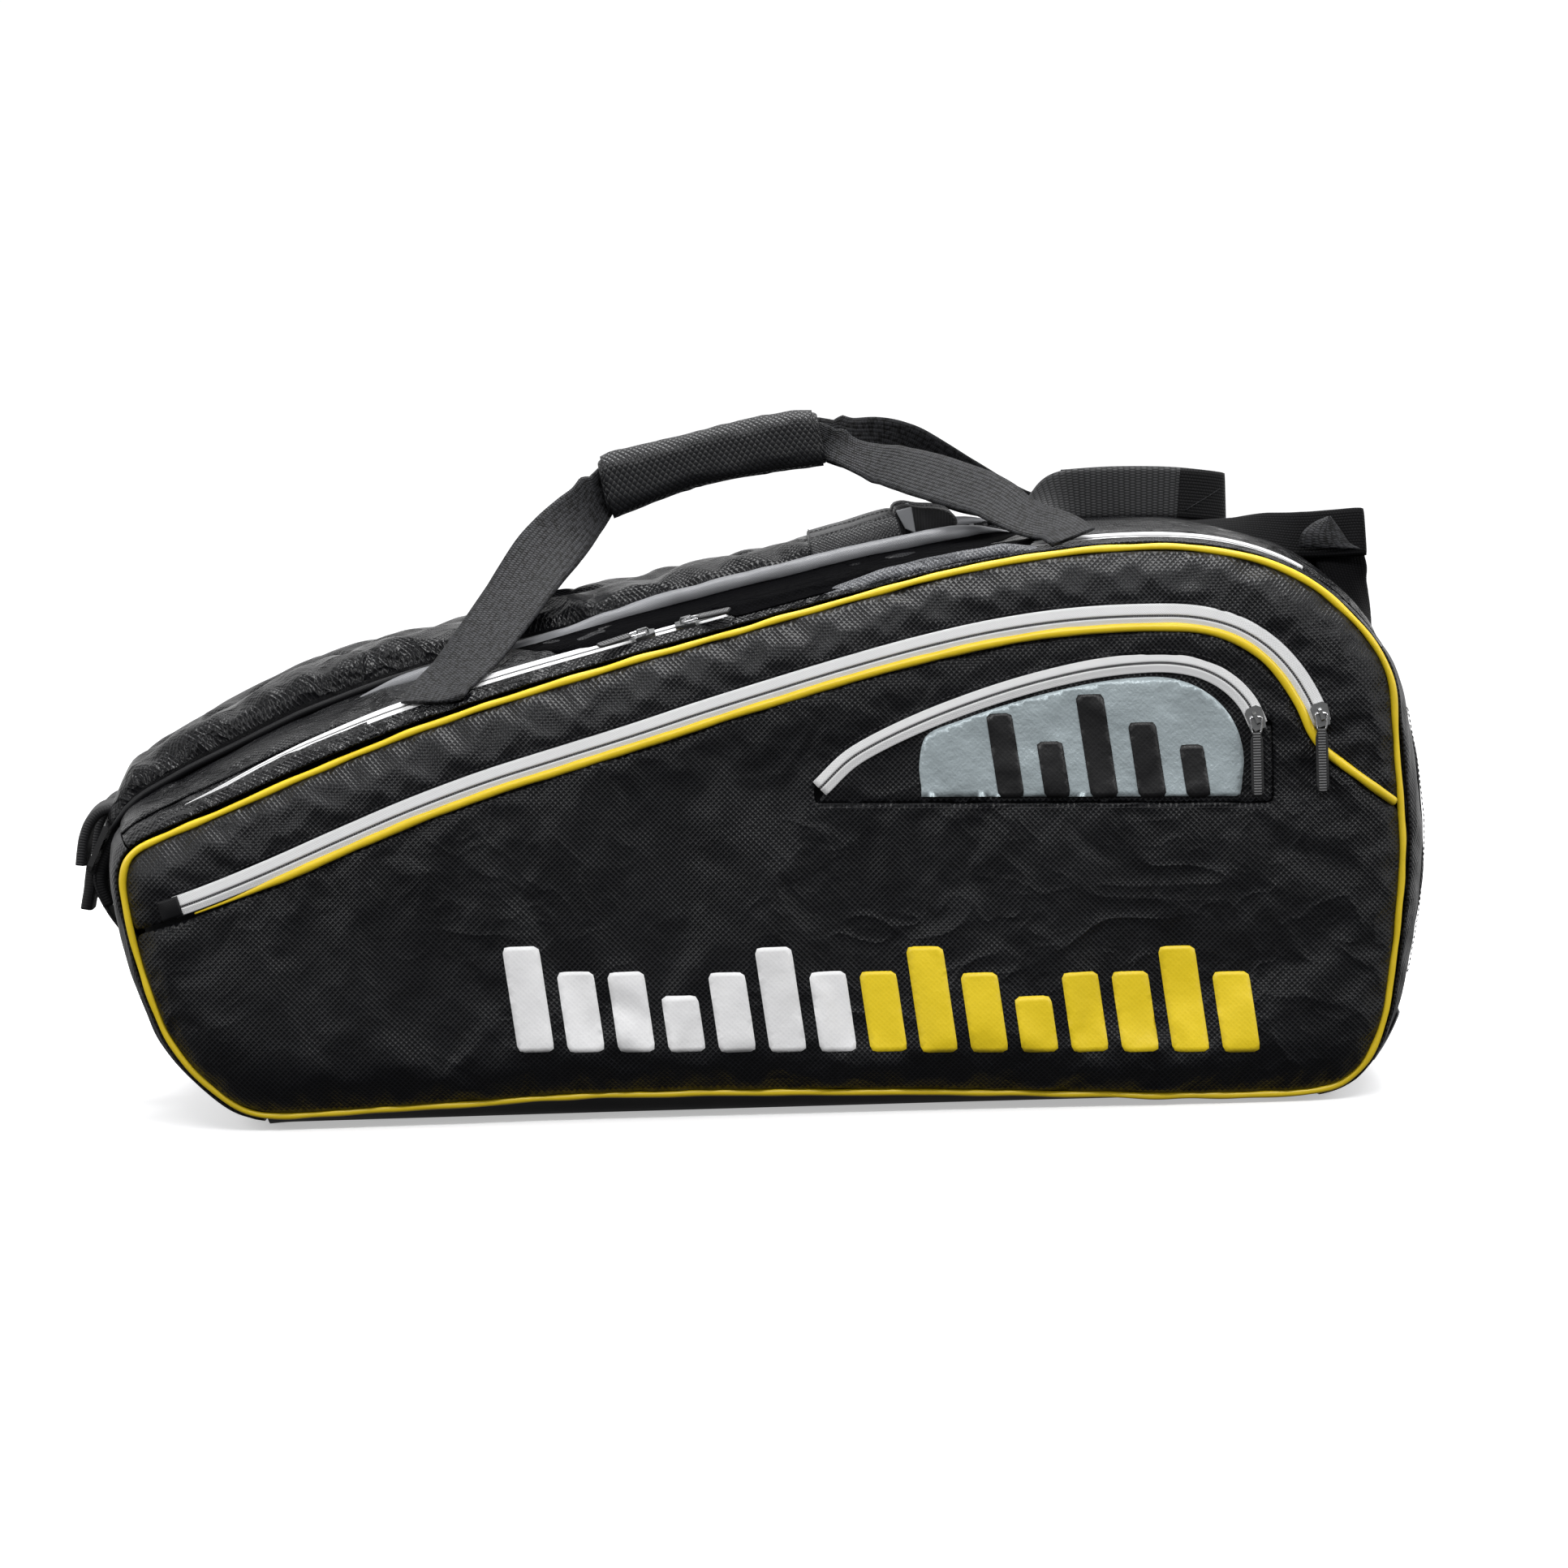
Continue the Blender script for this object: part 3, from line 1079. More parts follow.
ap = beside(archF, 0.7)
ap = ap[(ap[:, 0] > -300) & (inside(ap) > PIPE_R + ARCH_PIPE_R + 0.4)]
face = dish(inside(ap))
path = np.stack([ap[:, 0], -(face - 0.2), ap[:, 1]], 1)
thin = 0.22 + 0.78 * smooth((ap[:, 0] + 300) / 62)
path[:, 1] += 1.6 * (1 - thin)
tube("piping_arch_cord", soft_line(path, 71, 0.2), (2.5 + 0.16 * waves(path, 21, 8)) * thin, 14, mat="pipe", rep=["piping_arch"], slot="piping_yellow")

# arched zip
zl = beside(archF, (zip_lo + zip_hi) / 2)[zmask]
zl = resample(zl, 3.0)
zy = dish(inside(zl))
path = np.stack([zl[:, 0], -(zy + 0.0), zl[:, 1]], 1)
out = np.tile([0, -1.0, 0], (len(path), 1))
zip_chain("arch_zip_chain", path, out, half=5.6, shift=1.0, rep=["arch_zip"])
for nm, off in (("a", zip_hi + 1.6), ("b", -(ARCH_PIPE_R + 2.2))):
    q = resample(beside(archF, off)[zmask if nm == "a" else (inside(beside(archF, off)) > 6)], 3.0)
    P = np.stack([q[:, 0], -front_y(q), q[:, 1]], 1)
    stitches(f"stitch_arch_{nm}", P, np.tile([0, -1.0, 0], (len(P), 1)), lift=0.12, slot="shell_ripstop")
# folded zip garage at its narrow end
e0, e1 = beside(archF, zip_lo)[zmask][0], beside(archF, zip_hi)[zmask][0]
tdir = unit(archF[zmask][3] - archF[zmask][0])
gx = np.linspace(-9, 3, 9)
gv = np.linspace(0, 1, 9)
P = np.zeros((9, 9, 3))
for i, a in enumerate(gx):
    for j, b in enumerate(gv):
        q = e0 + (e1 - e0) * b + tdir * a
        P[i, j] = [q[0], -(float(dish(inside([q]))[0]) + 0.9 + 0.7 * math.sin(math.pi * b) * smooth(np.array((a + 9) / 5.0))), q[1]]
thick(grid("arch_zip_end_tab", P, mat="plain", slot="shell_ripstop"), 0.8)

# ------------------------------------------------------------------ accessory pocket
al = resample(accF, 3.0)
path = np.stack([al[:, 0], -np.full(len(al), PANEL_Y + 0.15), al[:, 1]], 1)
zip_chain("accessory_zip_chain", path, np.tile([0, -1.0, 0], (len(path), 1)), half=5.2, rep=["accessory_zip"])
q = resample(beside(accF, ZIP_W / 2 + 1.6), 3.0)
P = np.stack([q[:, 0], -front_y(q), q[:, 1]], 1)
stitches("stitch_accessory_top", P, np.tile([0, -1.0, 0], (len(P), 1)), lift=0.12, slot="shell_ripstop")
low = beside(accF, -(ZIP_W / 2 - 2.0))
low = low[(low[:, 1] > seam_z(low[:, 0]) + 1.0)]
flap_poly = np.vstack([[[40.0, seam_z(40.0) + 0.4]], low, [[286.4, low[-1][1] + 1]], [[286.4, seam_z(286.4) + 0.4]]])


def flap_height(P):
    d = np.abs(P[:, 1] - seam_z(P[:, 0]))
    return -(PANEL_Y - 0.7 + 0.45 * waves(P, 60, 91) * smooth(d / 12) - 0.9 * np.exp(-d / 2.5))


flap, fl_uv, fl_bd = cloth_sheet("accessory_flap_cloth", [flap_poly], 3.6, flap_height, mat="shell", body="accessory_flap", rep=["accessory_flap"], slot="shell_ripstop")
wrinkle(flap, pin_edge(fl_bd, 4), grow=0.006, out_cap=0.8, in_cap=0.5, seed=35, grain=30, start=0.2)
thick(subdivide(flap), 1.2)
flap_bvh = bvh_of(flap)


def drape(name, loops, step, bvh, lift, **kw):
    """A thin printed shape laid on a finished surface."""
    def h(P):
        out = np.zeros(len(P))
        for k, p in enumerate(P):
            hit = bvh.ray_cast(Vector(((p[0] + SH[0]) * MM, -0.4, p[1] * MM)), Vector((0, 1, 0)), 0.6)
            out[k] = -(PANEL_Y + lift) if hit[0] is None else hit[0].y / MM - SH[1] - lift
        return out
    o, v, bd = cloth_sheet(name, loops, step, h, **kw)
    return thick(o, 0.12)


patch_poly = np.array([[97.6, 170.6], [96.2, 180], [95.2, 189.5], [96.4, 200], [99.5, 208.2], [121, 216.8], [147, 224.6], [170, 230.2], [192, 234.2], [213, 236.2], [230, 235.8], [245, 231.2], [257, 223.0],
                       [265, 213.0], [269.5, 202], [271.2, 191], [270.2, 180], [266.3, 167.6]])
patch_poly = catmull(patch_poly, 90, True)
patch_poly = patch_poly[patch_poly[:, 1] > seam_z(patch_poly[:, 0]) + 0.8]
drape("accessory_patch_film", [patch_poly], 3.0, flap_bvh, 0.55, mat="silver", body="accessory_flap", rep=["accessory_patch"], slot="silver_film")


def slanted(x, z0, z1, w, lean=0.16, r=3.0):
    """A leaning bar with rounded corners."""
    c = [[x, z0], [x + w, z0], [x + w - lean * (z1 - z0), z1], [x - lean * (z1 - z0), z1]]
    out = []
    for i in range(4):
        a, b, d = (np.array(c[(i + k) % 4], float) for k in (-1, 0, 1))
        u, v = unit(a - b), unit(d - b)
        for t in np.linspace(0, 1, 5):
            p0, p1 = b + u * r, b + v * r
            out.append((1 - t) ** 2 * p0 + 2 * t * (1 - t) * b + t * t * p1)
    return np.array(out)


for i, (x, z1, w) in enumerate(((138, 219, 14), (163, 203, 14), (188, 228, 15), (214, 212, 15), (240, 199, 13))):
    drape(f"patch_bar_{i}", [slanted(x, seam_z(x) + 3.0, z1, w, 0.13, 2.5)], 3.0, flap_bvh, 0.82, mat="black", body="accessory_flap", slot="shell_ripstop")
sx = np.linspace(40, 286, 100)
P = np.stack([sx, -front_y(np.stack([sx, seam_z(sx) - 2.4], 1)), seam_z(sx) - 2.4], 1)
stitches("stitch_accessory_seam", P, np.tile([0, -1.0, 0], (len(P), 1)), lift=0.1, slot="shell_ripstop")

# printed band low on the front: two-tone leaning bars, no lettering
xs = -127.0
bars = []
heights = [58, 44, 44, 31, 44, 58, 44, 44, 58, 44, 31, 44, 44, 58, 44]
pitch_b = 27.4
for i, h in enumerate(heights):
    x = xs + i * pitch_b
    z0 = 42.0 - 0.030 * (x + 127)
    bars.append((x, z0, z0 + h, 20.0))
for i, (x, z0, z1, w) in enumerate(bars):
    drape(f"print_bar_{i:02d}", [slanted(x, z0, z1, w, 0.12, 3.4)], 3.2, front_bvh, 0.30, mat="white" if i < 7 else "yellow", slot="shell_ripstop")

# ------------------------------------------------------------------ gussets: one lofted shell round the bag
def cover(name, s0, s1, y0, y1, ds, dy, mat, rep, seed, grow=0.02, caps=(2.6, 1.2), depth=0.0, pinw=5.0, amp=0.5, bend=0.4, sim=True, t=1.4, slot="gusset_fabric", grain=24):
    ns, ny = max(2, int(abs(s1 - s0) * PER / ds)), max(2, int(abs(y1 - y0) / dy))
    s, y = np.linspace(s0, s1, ns + 1), np.linspace(y0, y1, ny + 1)
    S, Y = np.meshgrid(s, y, indexing="ij")
    P = gusset(S, Y, depth)
    UV = np.stack([S * PER, Y], -1)
    o = grid(name, P, UV, mat=mat, rep=rep, slot=slot, flip=True)
    d = np.minimum(np.minimum((S - s0) * PER, (s1 - S) * PER), np.minimum(Y - y0, y1 - Y)).ravel()
    push(o, amp * waves(P.reshape(-1, 3), 70, seed) * smooth(d / 20) - 0.7 * np.exp(-d / 2.5))
    if sim:
        wrinkle(o, np.clip(1 - d / pinw, 0, 1), grow=grow, pressure=0.02, out_cap=caps[0], in_cap=caps[1], seed=seed, bend=bend, grain=grain)
    thick(subdivide(o), t)
    return o


TOP0, TOP1 = sA + 0.5, sB - 0.5
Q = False
d1 = 8.0 if Q else 4.6
cover("top_cover", TOP0, TOP1, -(TOP_ZIP_Y - 5.2), TOP_ZIP_Y - 5.2, d1, d1, "strip", ["spine_panel", "top_gusset_front_inner", "top_gusset_rear_inner"], 101, grow=0.055, caps=(3.0, 2.2), amp=0.9, bend=0.15, grain=19)
for sg, nm in ((-1, "front"), (1, "rear")):
    a, b = sorted((sg * (TOP_ZIP_Y + 5.2), sg * (PIPE_Y - 1.2)))
    cover(f"top_edge_{nm}", TOP0, TOP1, a, b, 5.0, 2.6, "strip", [f"top_gusset_{nm}_outer"], 110 + sg, sim=False, amp=0.2, t=1.2)
wide = cover("wide_end_cover", sB + 0.5, sC - 0.5, -EDGE - 0.8, EDGE + 0.8, d1, d1, "shell", ["wide_end_panel"], 120, grow=0.014, caps=(1.2, 1.2), amp=0.5)
narrow = cover("narrow_end_cover", sD + 0.5, sA + NO - 0.5, -EDGE - 0.8, EDGE + 0.8, d1, d1, "shell", ["narrow_end_panel"], 130, grow=0.018, caps=(1.4, 1.2), amp=0.6)
cover("base_cover", sC + 0.5, sD - 0.5, -EDGE - 0.8, EDGE + 0.8, 9.0, 7.0, "plain", ["base_panel"], 140, sim=False, amp=0.0, t=1.6, depth=2.5)

# top zips
for sg, nm in ((-1, "front"), (1, "rear")):
    s = np.arange(float(top_s(-306.0, TOP_ZIP_Y)), float(top_s(309.0, TOP_ZIP_Y)), 3.2 / PER)
    near_ = 1 - smooth((gusset(s, 0 * s)[:, 0] + 322) / 62)
    y = sg * (TOP_ZIP_Y + 6.5 * near_)
    P = gusset(s, y, -0.7 - 0.3 * near_)
    lean = unit(surface_up(s, y) + np.array([0, sg * 0.28, 0]))
    zip_chain(f"top_zip_{nm}_chain", P, lean, half=5.9, taper=0.26 + 0.74 * smooth((P[:, 0] + 300) / 125), rep=[f"top_zip_{nm}"])
    for nn, g0, g1 in (("a", TOP0, float(top_s(-205.0, TOP_ZIP_Y))), ("b", float(top_s(306.0, TOP_ZIP_Y)), TOP1)):
        gs, gy = np.linspace(g0, g1, 44), np.linspace(sg * (TOP_ZIP_Y - 8.2), sg * (TOP_ZIP_Y + 7.4), 9)
        S_, Y_ = np.meshgrid(gs, gy, indexing="ij")
        fl = np.sin(np.linspace(0, math.pi, 9))[None, :] * (0.7 + 0.25 * waves(np.stack([S_ * PER, Y_], -1), 17, 8))
        go = grid(f"zip_garage_{nm}_{nn}", gusset(S_, Y_, -0.3 - 1.3 * fl), np.stack([S_ * PER, Y_], -1), mat="strip", slot="gusset_fabric")
        if normals(go)[:, 2].mean() < 0:
            go.data.flip_normals()
        thick(go, 0.9)
    for k, yy in enumerate((TOP_ZIP_Y + 7.0, TOP_ZIP_Y - 8.0)):
        y2 = np.full(len(s), sg * (yy if k else yy + 2.0))
        stitches(f"stitch_top_{nm}_{k}", gusset(s, y2, 0), surface_up(s, y2), lift=0.3, pitch=3.4, slot="gusset_fabric")
    # padded roll along the seam between the top strip and the spine
    x = np.linspace(-222, 158, 90)
    s = top_s(x, sg * 68.0)
    y = sg * (67.0 + 0.8 * waves(x[:, None], 90, 5))
    rise_ = smooth((x + 120) / 90) * smooth((168 - x) / 36)
    P = gusset(s, y, -2.4 - 5.6 * rise_)
    up = surface_up(s, y)
    t = unit(np.gradient(P, axis=0))
    side = unit(np.cross(t, up))
    k = smooth((x + 222) / 40) * smooth((158 - x) / 40)
    n = 16
    ang = np.linspace(0, 2 * math.pi, n, endpoint=False)
    R = np.zeros((len(x), n, 3))
    for j, a in enumerate(ang):
        R[:, j] = P + side * (6.2 * math.cos(a) * (0.4 + 0.6 * k))[:, None] + up * ((0.2 + 4.6 * k) * math.sin(a) + 0.35 * waves(np.stack([x, np.full(len(x), a * 8)], 1), 20, 6))[:, None]
    grid(f"seam_roll_{nm}", R, cv=True, caps=True, mat="roll", slot="gusset_fabric")
    # shadowed fold under the roll
    x2 = np.linspace(-150, 172, 76)
    R = np.zeros((76, 13, 3))
    for j, b in enumerate(np.linspace(0, 1, 13)):
        wd = smooth((x2 + 150) / 70) * smooth((172 - x2) / 40)
        yy = sg * (66.0 + (b * 46.0) * wd)
        ss_ = np.array([float(top_s(a_, c_)) for a_, c_ in zip(x2, yy)])
        R[:, j] = gusset(ss_, yy, -(3.8 + wd * 4.2 * max(0.0, 1 - b / 0.22) - 2.6 * smooth((b - 0.86) / 0.14)))
    thick(grid(f"fold_shadow_{nm}", R, mat="groove", slot="gusset_fabric", flip=sg > 0), 0.5, 0)
    x3 = np.linspace(-14, 168, 60)
    R = np.zeros((60, 15, 3))
    for j, b in enumerate(np.linspace(0, 1, 15)):
        wd = smooth((x3 + 14) / 14) * smooth((168 - x3) / 16)
        yy = sg * (TOP_ZIP_Y - 7.5 + (b * (PIPE_Y - 6.0 - TOP_ZIP_Y + 7.5)) * wd)
        ss_ = np.array([float(top_s(a_, c_)) for a_, c_ in zip(x3, yy)])
        R[:, j] = gusset(ss_, yy, -(2.0 + 2.0 * smooth((0.72 - b) / 0.3) * smooth((b + 0.04) / 0.08)))
    thick(grid(f"fold_shade_{nm}", R, mat="groove", slot="gusset_fabric", flip=sg > 0), 0.5, 0)
    # weather lip that covers the zip past the sliders
    x = np.linspace(-8, 172, 64)
    v = np.linspace(0, 1, 9)
    R = np.zeros((64, 9, 3))
    kk = smooth((x + 8) / 30) * smooth((172 - x) / 30)
    for j, b in enumerate(v):
        yy = sg * (TOP_ZIP_Y + 1.0 + b * 10.0)
        s = top_s(x, yy)
        lift = 0.3 + kk * smooth((x - 30) / 60) * (5.0 * math.sin(math.pi * min(1, b * 0.86 + 0.06)) + 0.4 * waves(np.stack([x, np.full(64, b * 14)], 1), 24, 12))
        R[:, j] = gusset(s, np.full(64, yy), -lift)
    thick(grid(f"zip_lip_{nm}", R, mat="lip", slot="gusset_fabric", flip=sg > 0), 0.9, 0)

# ------------------------------------------------------------------ wide end pocket
def end_sheet(name, z0, z1, y0, y1, lift, mat, rep, seed, grow=0.01, slot="shell_ripstop", t=1.2):
    z, y = np.arange(z0, z1 + 0.1, 4.0), np.linspace(y0, y1, max(3, int((y1 - y0) / 4) + 1))
    Z, Y = np.meshgrid(z, y, indexing="ij")
    P = gusset(wide_s(Z), Y, -lift)
    o = grid(name, P, np.stack([Z, Y], -1), mat=mat, rep=rep, slot=slot)
    d = np.minimum(np.minimum(Z - z0, z1 - Z), np.minimum(Y - y0, y1 - Y)).ravel()
    push(o, 0.9 * smooth(d / 14) + 0.4 * waves(P.reshape(-1, 3), 40, seed) * smooth(d / 12))
    n = normals(o)
    if n[:, 0].mean() < 0:
        o.data.flip_normals()
    wrinkle(o, np.clip(1 - d / 4, 0, 1), grow=grow, out_cap=1.6, in_cap=0.8, seed=seed)
    thick(subdivide(o), t)
    P2 = get_co(o) / MM - SH
    return o


end_sheet("end_pocket_cloth", 64, 212, 5.4, 92, 2.9, "shell", ["end_pocket_panel"], 150)
end_sheet("end_pocket_edge_cloth", 64, 212, -92, -5.4, 2.9, "shell", ["end_pocket_edge"], 151)
end_sheet("reflective_sheet_tab", 22, 46, -92, 92, 4.4, "reflect", ["reflective_tab"], 152, grow=0.003, slot="reflective_film", t=0.8)
z = np.arange(64, 212.1, 3.0)
P = gusset(wide_s(z), np.zeros(len(z)), -2.8)
zip_chain("end_zip_chain", P, surface_up(wide_s(z), np.zeros(len(z))), half=5.4, rep=["end_zip"])
border = []
for a, b, n in (((64, -92), (212, -92), 40), ((212, -92), (212, 92), 50), ((212, 92), (64, 92), 40), ((64, 92), (64, -92), 50)):
    for k in range(n):
        border.append([a[0] + (b[0] - a[0]) * k / n, a[1] + (b[1] - a[1]) * k / n])
border = np.array(border)
bs = wide_s(64 + (border[:, 0] - 64) * 0.97 + 2.2)
by = border[:, 1] * 0.972
stitches("stitch_end_pocket", gusset(bs, by, -3.4), surface_up(bs, by), lift=0.25, slot="shell_ripstop")

# ------------------------------------------------------------------ zip sliders and pullers
JO = {j["child"]: j for j in frame["joints"]}


def pulls(node, length):
    j = JO[node]
    pivot = np.array(j["pos_m"], float) / MM - SH
    px = -unit(np.array(j["axis"], float))
    c = get_co(NODES[node]).mean(0) / MM - SH
    hang = c - pivot
    hang = unit(hang - px * float(hang @ px))
    py = -hang
    pz = np.cross(px, py)
    B = np.stack([px, py, pz], 0)
    L = lambda a: pivot + np.asarray(a, float) @ B
    # plated wire link
    loop = catmull([[-2.9, 0.2, 0], [-2.9, -3.5, 0], [-2.5, -7.2, 0], [-1.2, -9.0, 0], [1.2, -9.0, 0], [2.5, -7.2, 0], [2.9, -3.5, 0], [2.9, 0.2, 0], [1.2, 0.65, 0], [-1.2, 0.65, 0]], 48, True)
    tube(f"{node}_link", L(loop), 0.62, 10, up=pz, closed=True, mat="chrome", body=node, slot="slider_metal")
    # ribbed moulded tag
    y = np.linspace(-7.4, -length, 30)
    k = (y + 7.4) / (-length + 7.4)
    w = 2.2 + 1.2 * smooth(k / 0.16) - 0.9 * smooth((k - 0.9) / 0.1)
    h = 0.95 - 0.25 * smooth((k - 0.92) / 0.08) + 0.25 * np.exp(-((k - 0.06) / 0.07) ** 2)
    ang = np.linspace(0, 2 * math.pi, 20, endpoint=False)
    P = np.zeros((len(y), 20, 3))
    UV = np.zeros((len(y), 21, 2))
    for a in range(20):
        ca, sa = math.cos(ang[a]), math.sin(ang[a])
        xx = np.sign(ca) * abs(ca) ** 0.45 * w
        zz = np.sign(sa) * abs(sa) ** 0.45 * h * (1 + 0.10 * np.sin(y * 2 * math.pi / 3.0) * (abs(ca) < 0.75))
        P[:, a] = L(np.stack([xx, y, zz], 1))
        UV[:, a] = np.stack([y, xx], 1)
    UV[:, 20] = UV[:, 0]
    grid(f"{node}_tag", P, UV, cv=True, caps=True, mat="rubber", body=node, rep=[node], slot="puller_rubber", flip=True)


for node, length in (("arch_puller", 42), ("accessory_puller", 42), ("top_front_a_puller", 27), ("top_front_b_puller", 27), ("top_rear_a_puller", 27), ("top_rear_b_puller", 27), ("end_puller", 26)):
    pulls(node, length)

# ------------------------------------------------------------------ carry handle
GRIP_C = np.array([-13, 0, 353.5])
GRIP_DIR, GRIP_UP = unit(np.array([0.982, 0, 0.19])), unit(np.array([-0.19, 0, 0.982]))


def grip_point(along, y, up):
    q = GRIP_C + GRIP_DIR * along + GRIP_UP * up
    return np.array([q[0], y, q[2]])


HANDLE_W, HANDLE_IN = 38.0, 28.5
FACING_FRONT = np.array([[0, 0.955, 0, 0.29], [0.08, 0.955, 0, 0.29], [0.25, 0.866, 0.42, -0.28], [0.36, 0.7, 0.3, -0.6], [0.46, 0.19, 0, -0.98], [0.515, 0.19, 0.05, -0.98],
                         [0.545, 0.10, 0.55, -0.82], [0.575, 0.02, 0.70, -0.71], [0.64, -0.22, 0.74, -0.64], [0.72, -0.45, 0.62, -0.66], [0.80, -0.72, 0.36, -0.56], [0.88, -0.9, 0.2, -0.3], [0.95, -0.99, 0, -0.09], [1, -0.99, 0, -0.09]])
FACING = np.array([[0, 0.955, 0, 0.29], [0.08, 0.955, 0, 0.29], [0.25, 0.866, 0.42, -0.28], [0.36, 0.7, 0.3, -0.6], [0.46, 0.19, 0, -0.98], [0.54, 0.19, 0, -0.98],
                   [0.64, -0.4, 0.3, -0.86], [0.75, -0.62, 0.42, -0.66], [0.88, -0.9, 0.2, -0.3], [0.95, -0.99, 0, -0.09], [1, -0.99, 0, -0.09]])
for sg, nm in ((-1, "front"), (1, "rear")):
    on = lambda x, y, lift: list(top_point(x, sg * y, lift))
    yi = sg * 2.6
    left = catmull([on(-168, 122.5, 3.8), on(-167.8, 118.5, 5.0), [-163, sg * 111, 241], [-150, sg * 98, 253.5], [-128, sg * 69, 281], [-106, sg * 39, 310], list(grip_point(-63, yi, 0))], 12)
    right = catmull([list(grip_point(63, yi, 0)), [76, sg * 14, 361], [104, sg * 42, 350.5], [138, sg * 77, 335.5], [166, sg * 104, 321], on(186.5, 116, 6.5), on(187, 119, 5.2), on(187, 122.5, 4.6)], 12)
    C = np.vstack([left, right])
    n = len(C) - 1
    k = np.arange(n + 1) / n
    C[:, 0] -= (3.5 if sg < 0 else 0.0) * smooth((k - 0.8) / 0.1)
    C[:, 2] += 4.2 * smooth((k - 0.44) / 0.04) * smooth((0.56 - k) / 0.04) + (sg < 0) * np.interp(k, [0.50, 0.5417, 0.5833, 0.625, 0.667, 0.75, 0.84], [0, -2.5, -7.0, -6.2, -4.6, -2.4, 0]) + (sg > 0) * np.interp(k, [0.52, 0.56, 0.61, 0.65, 0.70, 0.745, 0.78, 0.825, 0.866, 0.91], [0, 0.6, 2.4, 2.2, 0.2, -2.2, -3.4, -4.2, -3.6, 0])
    FC = FACING if sg > 0 else FACING_FRONT
    A = unit(np.stack([np.interp(k, FC[:, 0], FC[:, 1]), sg * np.interp(k, FC[:, 0], FC[:, 2]), np.interp(k, FC[:, 0], FC[:, 3])], 1))
    # finer stations between the frame's own
    m = 8
    kk = np.linspace(0, n, n * m + 1)
    fine = np.stack([np.interp(kk, np.arange(n + 1), A[:, c]) for c in range(3)], 1)
    Cf = []
    for i in range(n):
        p0, p1, p2, p3 = C[max(0, i - 1)], C[i], C[i + 1], C[min(n, i + 2)]
        if i == 12:
            p0, p3 = 2 * p1 - p2, 2 * p2 - p1
        u = np.linspace(0, 1, m, endpoint=False)[:, None]
        s1_, s2_ = (p2 - p0) / 2, (p3 - p1) / 2
        if i == 11: s2_ = (p2 - p1)
        if i == 13: s1_ = (p2 - p1)
        Cf.append(p1 + s1_ * u + (-3 * p1 + 3 * p2 - 2 * s1_ - s2_) * u ** 2 + (2 * p1 - 2 * p2 + s1_ + s2_) * u ** 3)
    Cf = np.vstack(Cf + [C[-1:]])
    uu = kk / n
    w = HANDLE_IN + (HANDLE_W - HANDLE_IN) * smooth((np.abs(uu - 0.5) - 0.04) / 0.14)
    if sg < 0:
        w = np.where(uu > 0.5, np.interp(uu, [0.5, 0.53, 0.548, 0.575, 0.62, 0.70, 0.80, 0.90, 1.0], [28.5, 24, 20, 22, 29, 33, 32, 28, 28]), w)
    else:
        w = w - 4.0 * smooth((uu - 0.76) / 0.14)
    w = w - (HANDLE_IN - 19.0) * smooth((0.515 - np.abs(uu - 0.5) - 0.475) / 0.012)
    o = ribbon(f"handle_webbing_{nm}", Cf, unit(fine), w, 1.9, mat="web", rep=[f"handle_strap_{nm}"])
    co = get_co(o)
    lim = 125.9 * MM
    yy = co[:, 1] - SH[1] * MM
    co[:, 1] = np.clip(yy, -lim, lim) + SH[1] * MM
    set_co(o, co)
    o["_blend"] = ["root", "handle"]

# sleeve under the wrap: rounded, with rolled rims
def round_section(hw, hh, r, n):
    out = []
    for cx, cy, a0 in ((hw - r, hh - r, 0), (-hw + r, hh - r, 90), (-hw + r, -hh + r, 180), (hw - r, -hh + r, 270)):
        for k in range(n + 1):
            a = math.radians(a0 + 90 * k / n)
            out.append([cx + r * math.cos(a), cy + r * math.sin(a)])
    return np.array(out)


along = [-58, -62.2, -63.4, -63.8, -63.0, -61.0, -58.0] + list(np.linspace(-55, 55, 34)) + [58.0, 61.0, 63.0, 63.8, 63.4, 62.2, 58]
scale = [0.74, 0.76, 0.82, 0.9, 0.975, 1.012, 1.0] + [1.0] * 34 + [1.0, 1.012, 0.975, 0.9, 0.82, 0.76, 0.74]
sec = round_section(10.8, 16.2, 9.2, 9)
sec = rows(sec, 3.0)
P = np.zeros((len(along), len(sec), 3))


def drawn(a, z):
    """The wrap is drawn up in the middle of the grip, more along its lower edge."""
    top = np.interp(a, [-64, -56, -37, -14, 9, 33, 50, 58, 64], [1.0, 2.3, 2.7, 2.8, 3.4, 3.8, 2.6, 1.2, 0.2])
    bot = np.interp(a, [-64, -56, -37, -20, -12, 9, 33, 56, 64], [0.8, 2.2, 5.0, 7.4, 8.6, 7.8, 6.8, 4.8, 3.6])
    return z + bot + (top - bot) * np.clip((z + 17.5) / 35, 0, 1)


for i, (a, k) in enumerate(zip(along, scale)):
    bulge = 1 + 0.012 * math.sin(a * 0.11) + 0.008 * math.sin(a * 0.23 + 1)
    for j, (yy, zz) in enumerate(sec):
        P[i, j] = grip_point(a, -yy * k * bulge, drawn(a, zz * k * bulge))
o = grid("grip_sleeve", P, cv=True, mat="grip", body="handle", rep=["handle_grip"], slot="grip_fabric")
push(o, 0.22 * waves(P.reshape(-1, 3), 44, 160))
if normals(o)[len(sec) * 20][1] * (P.reshape(-1, 3)[len(sec) * 20][1]) < 0:
    o.data.flip_normals()
subdivide(o)
o["_pad"] = 0.75

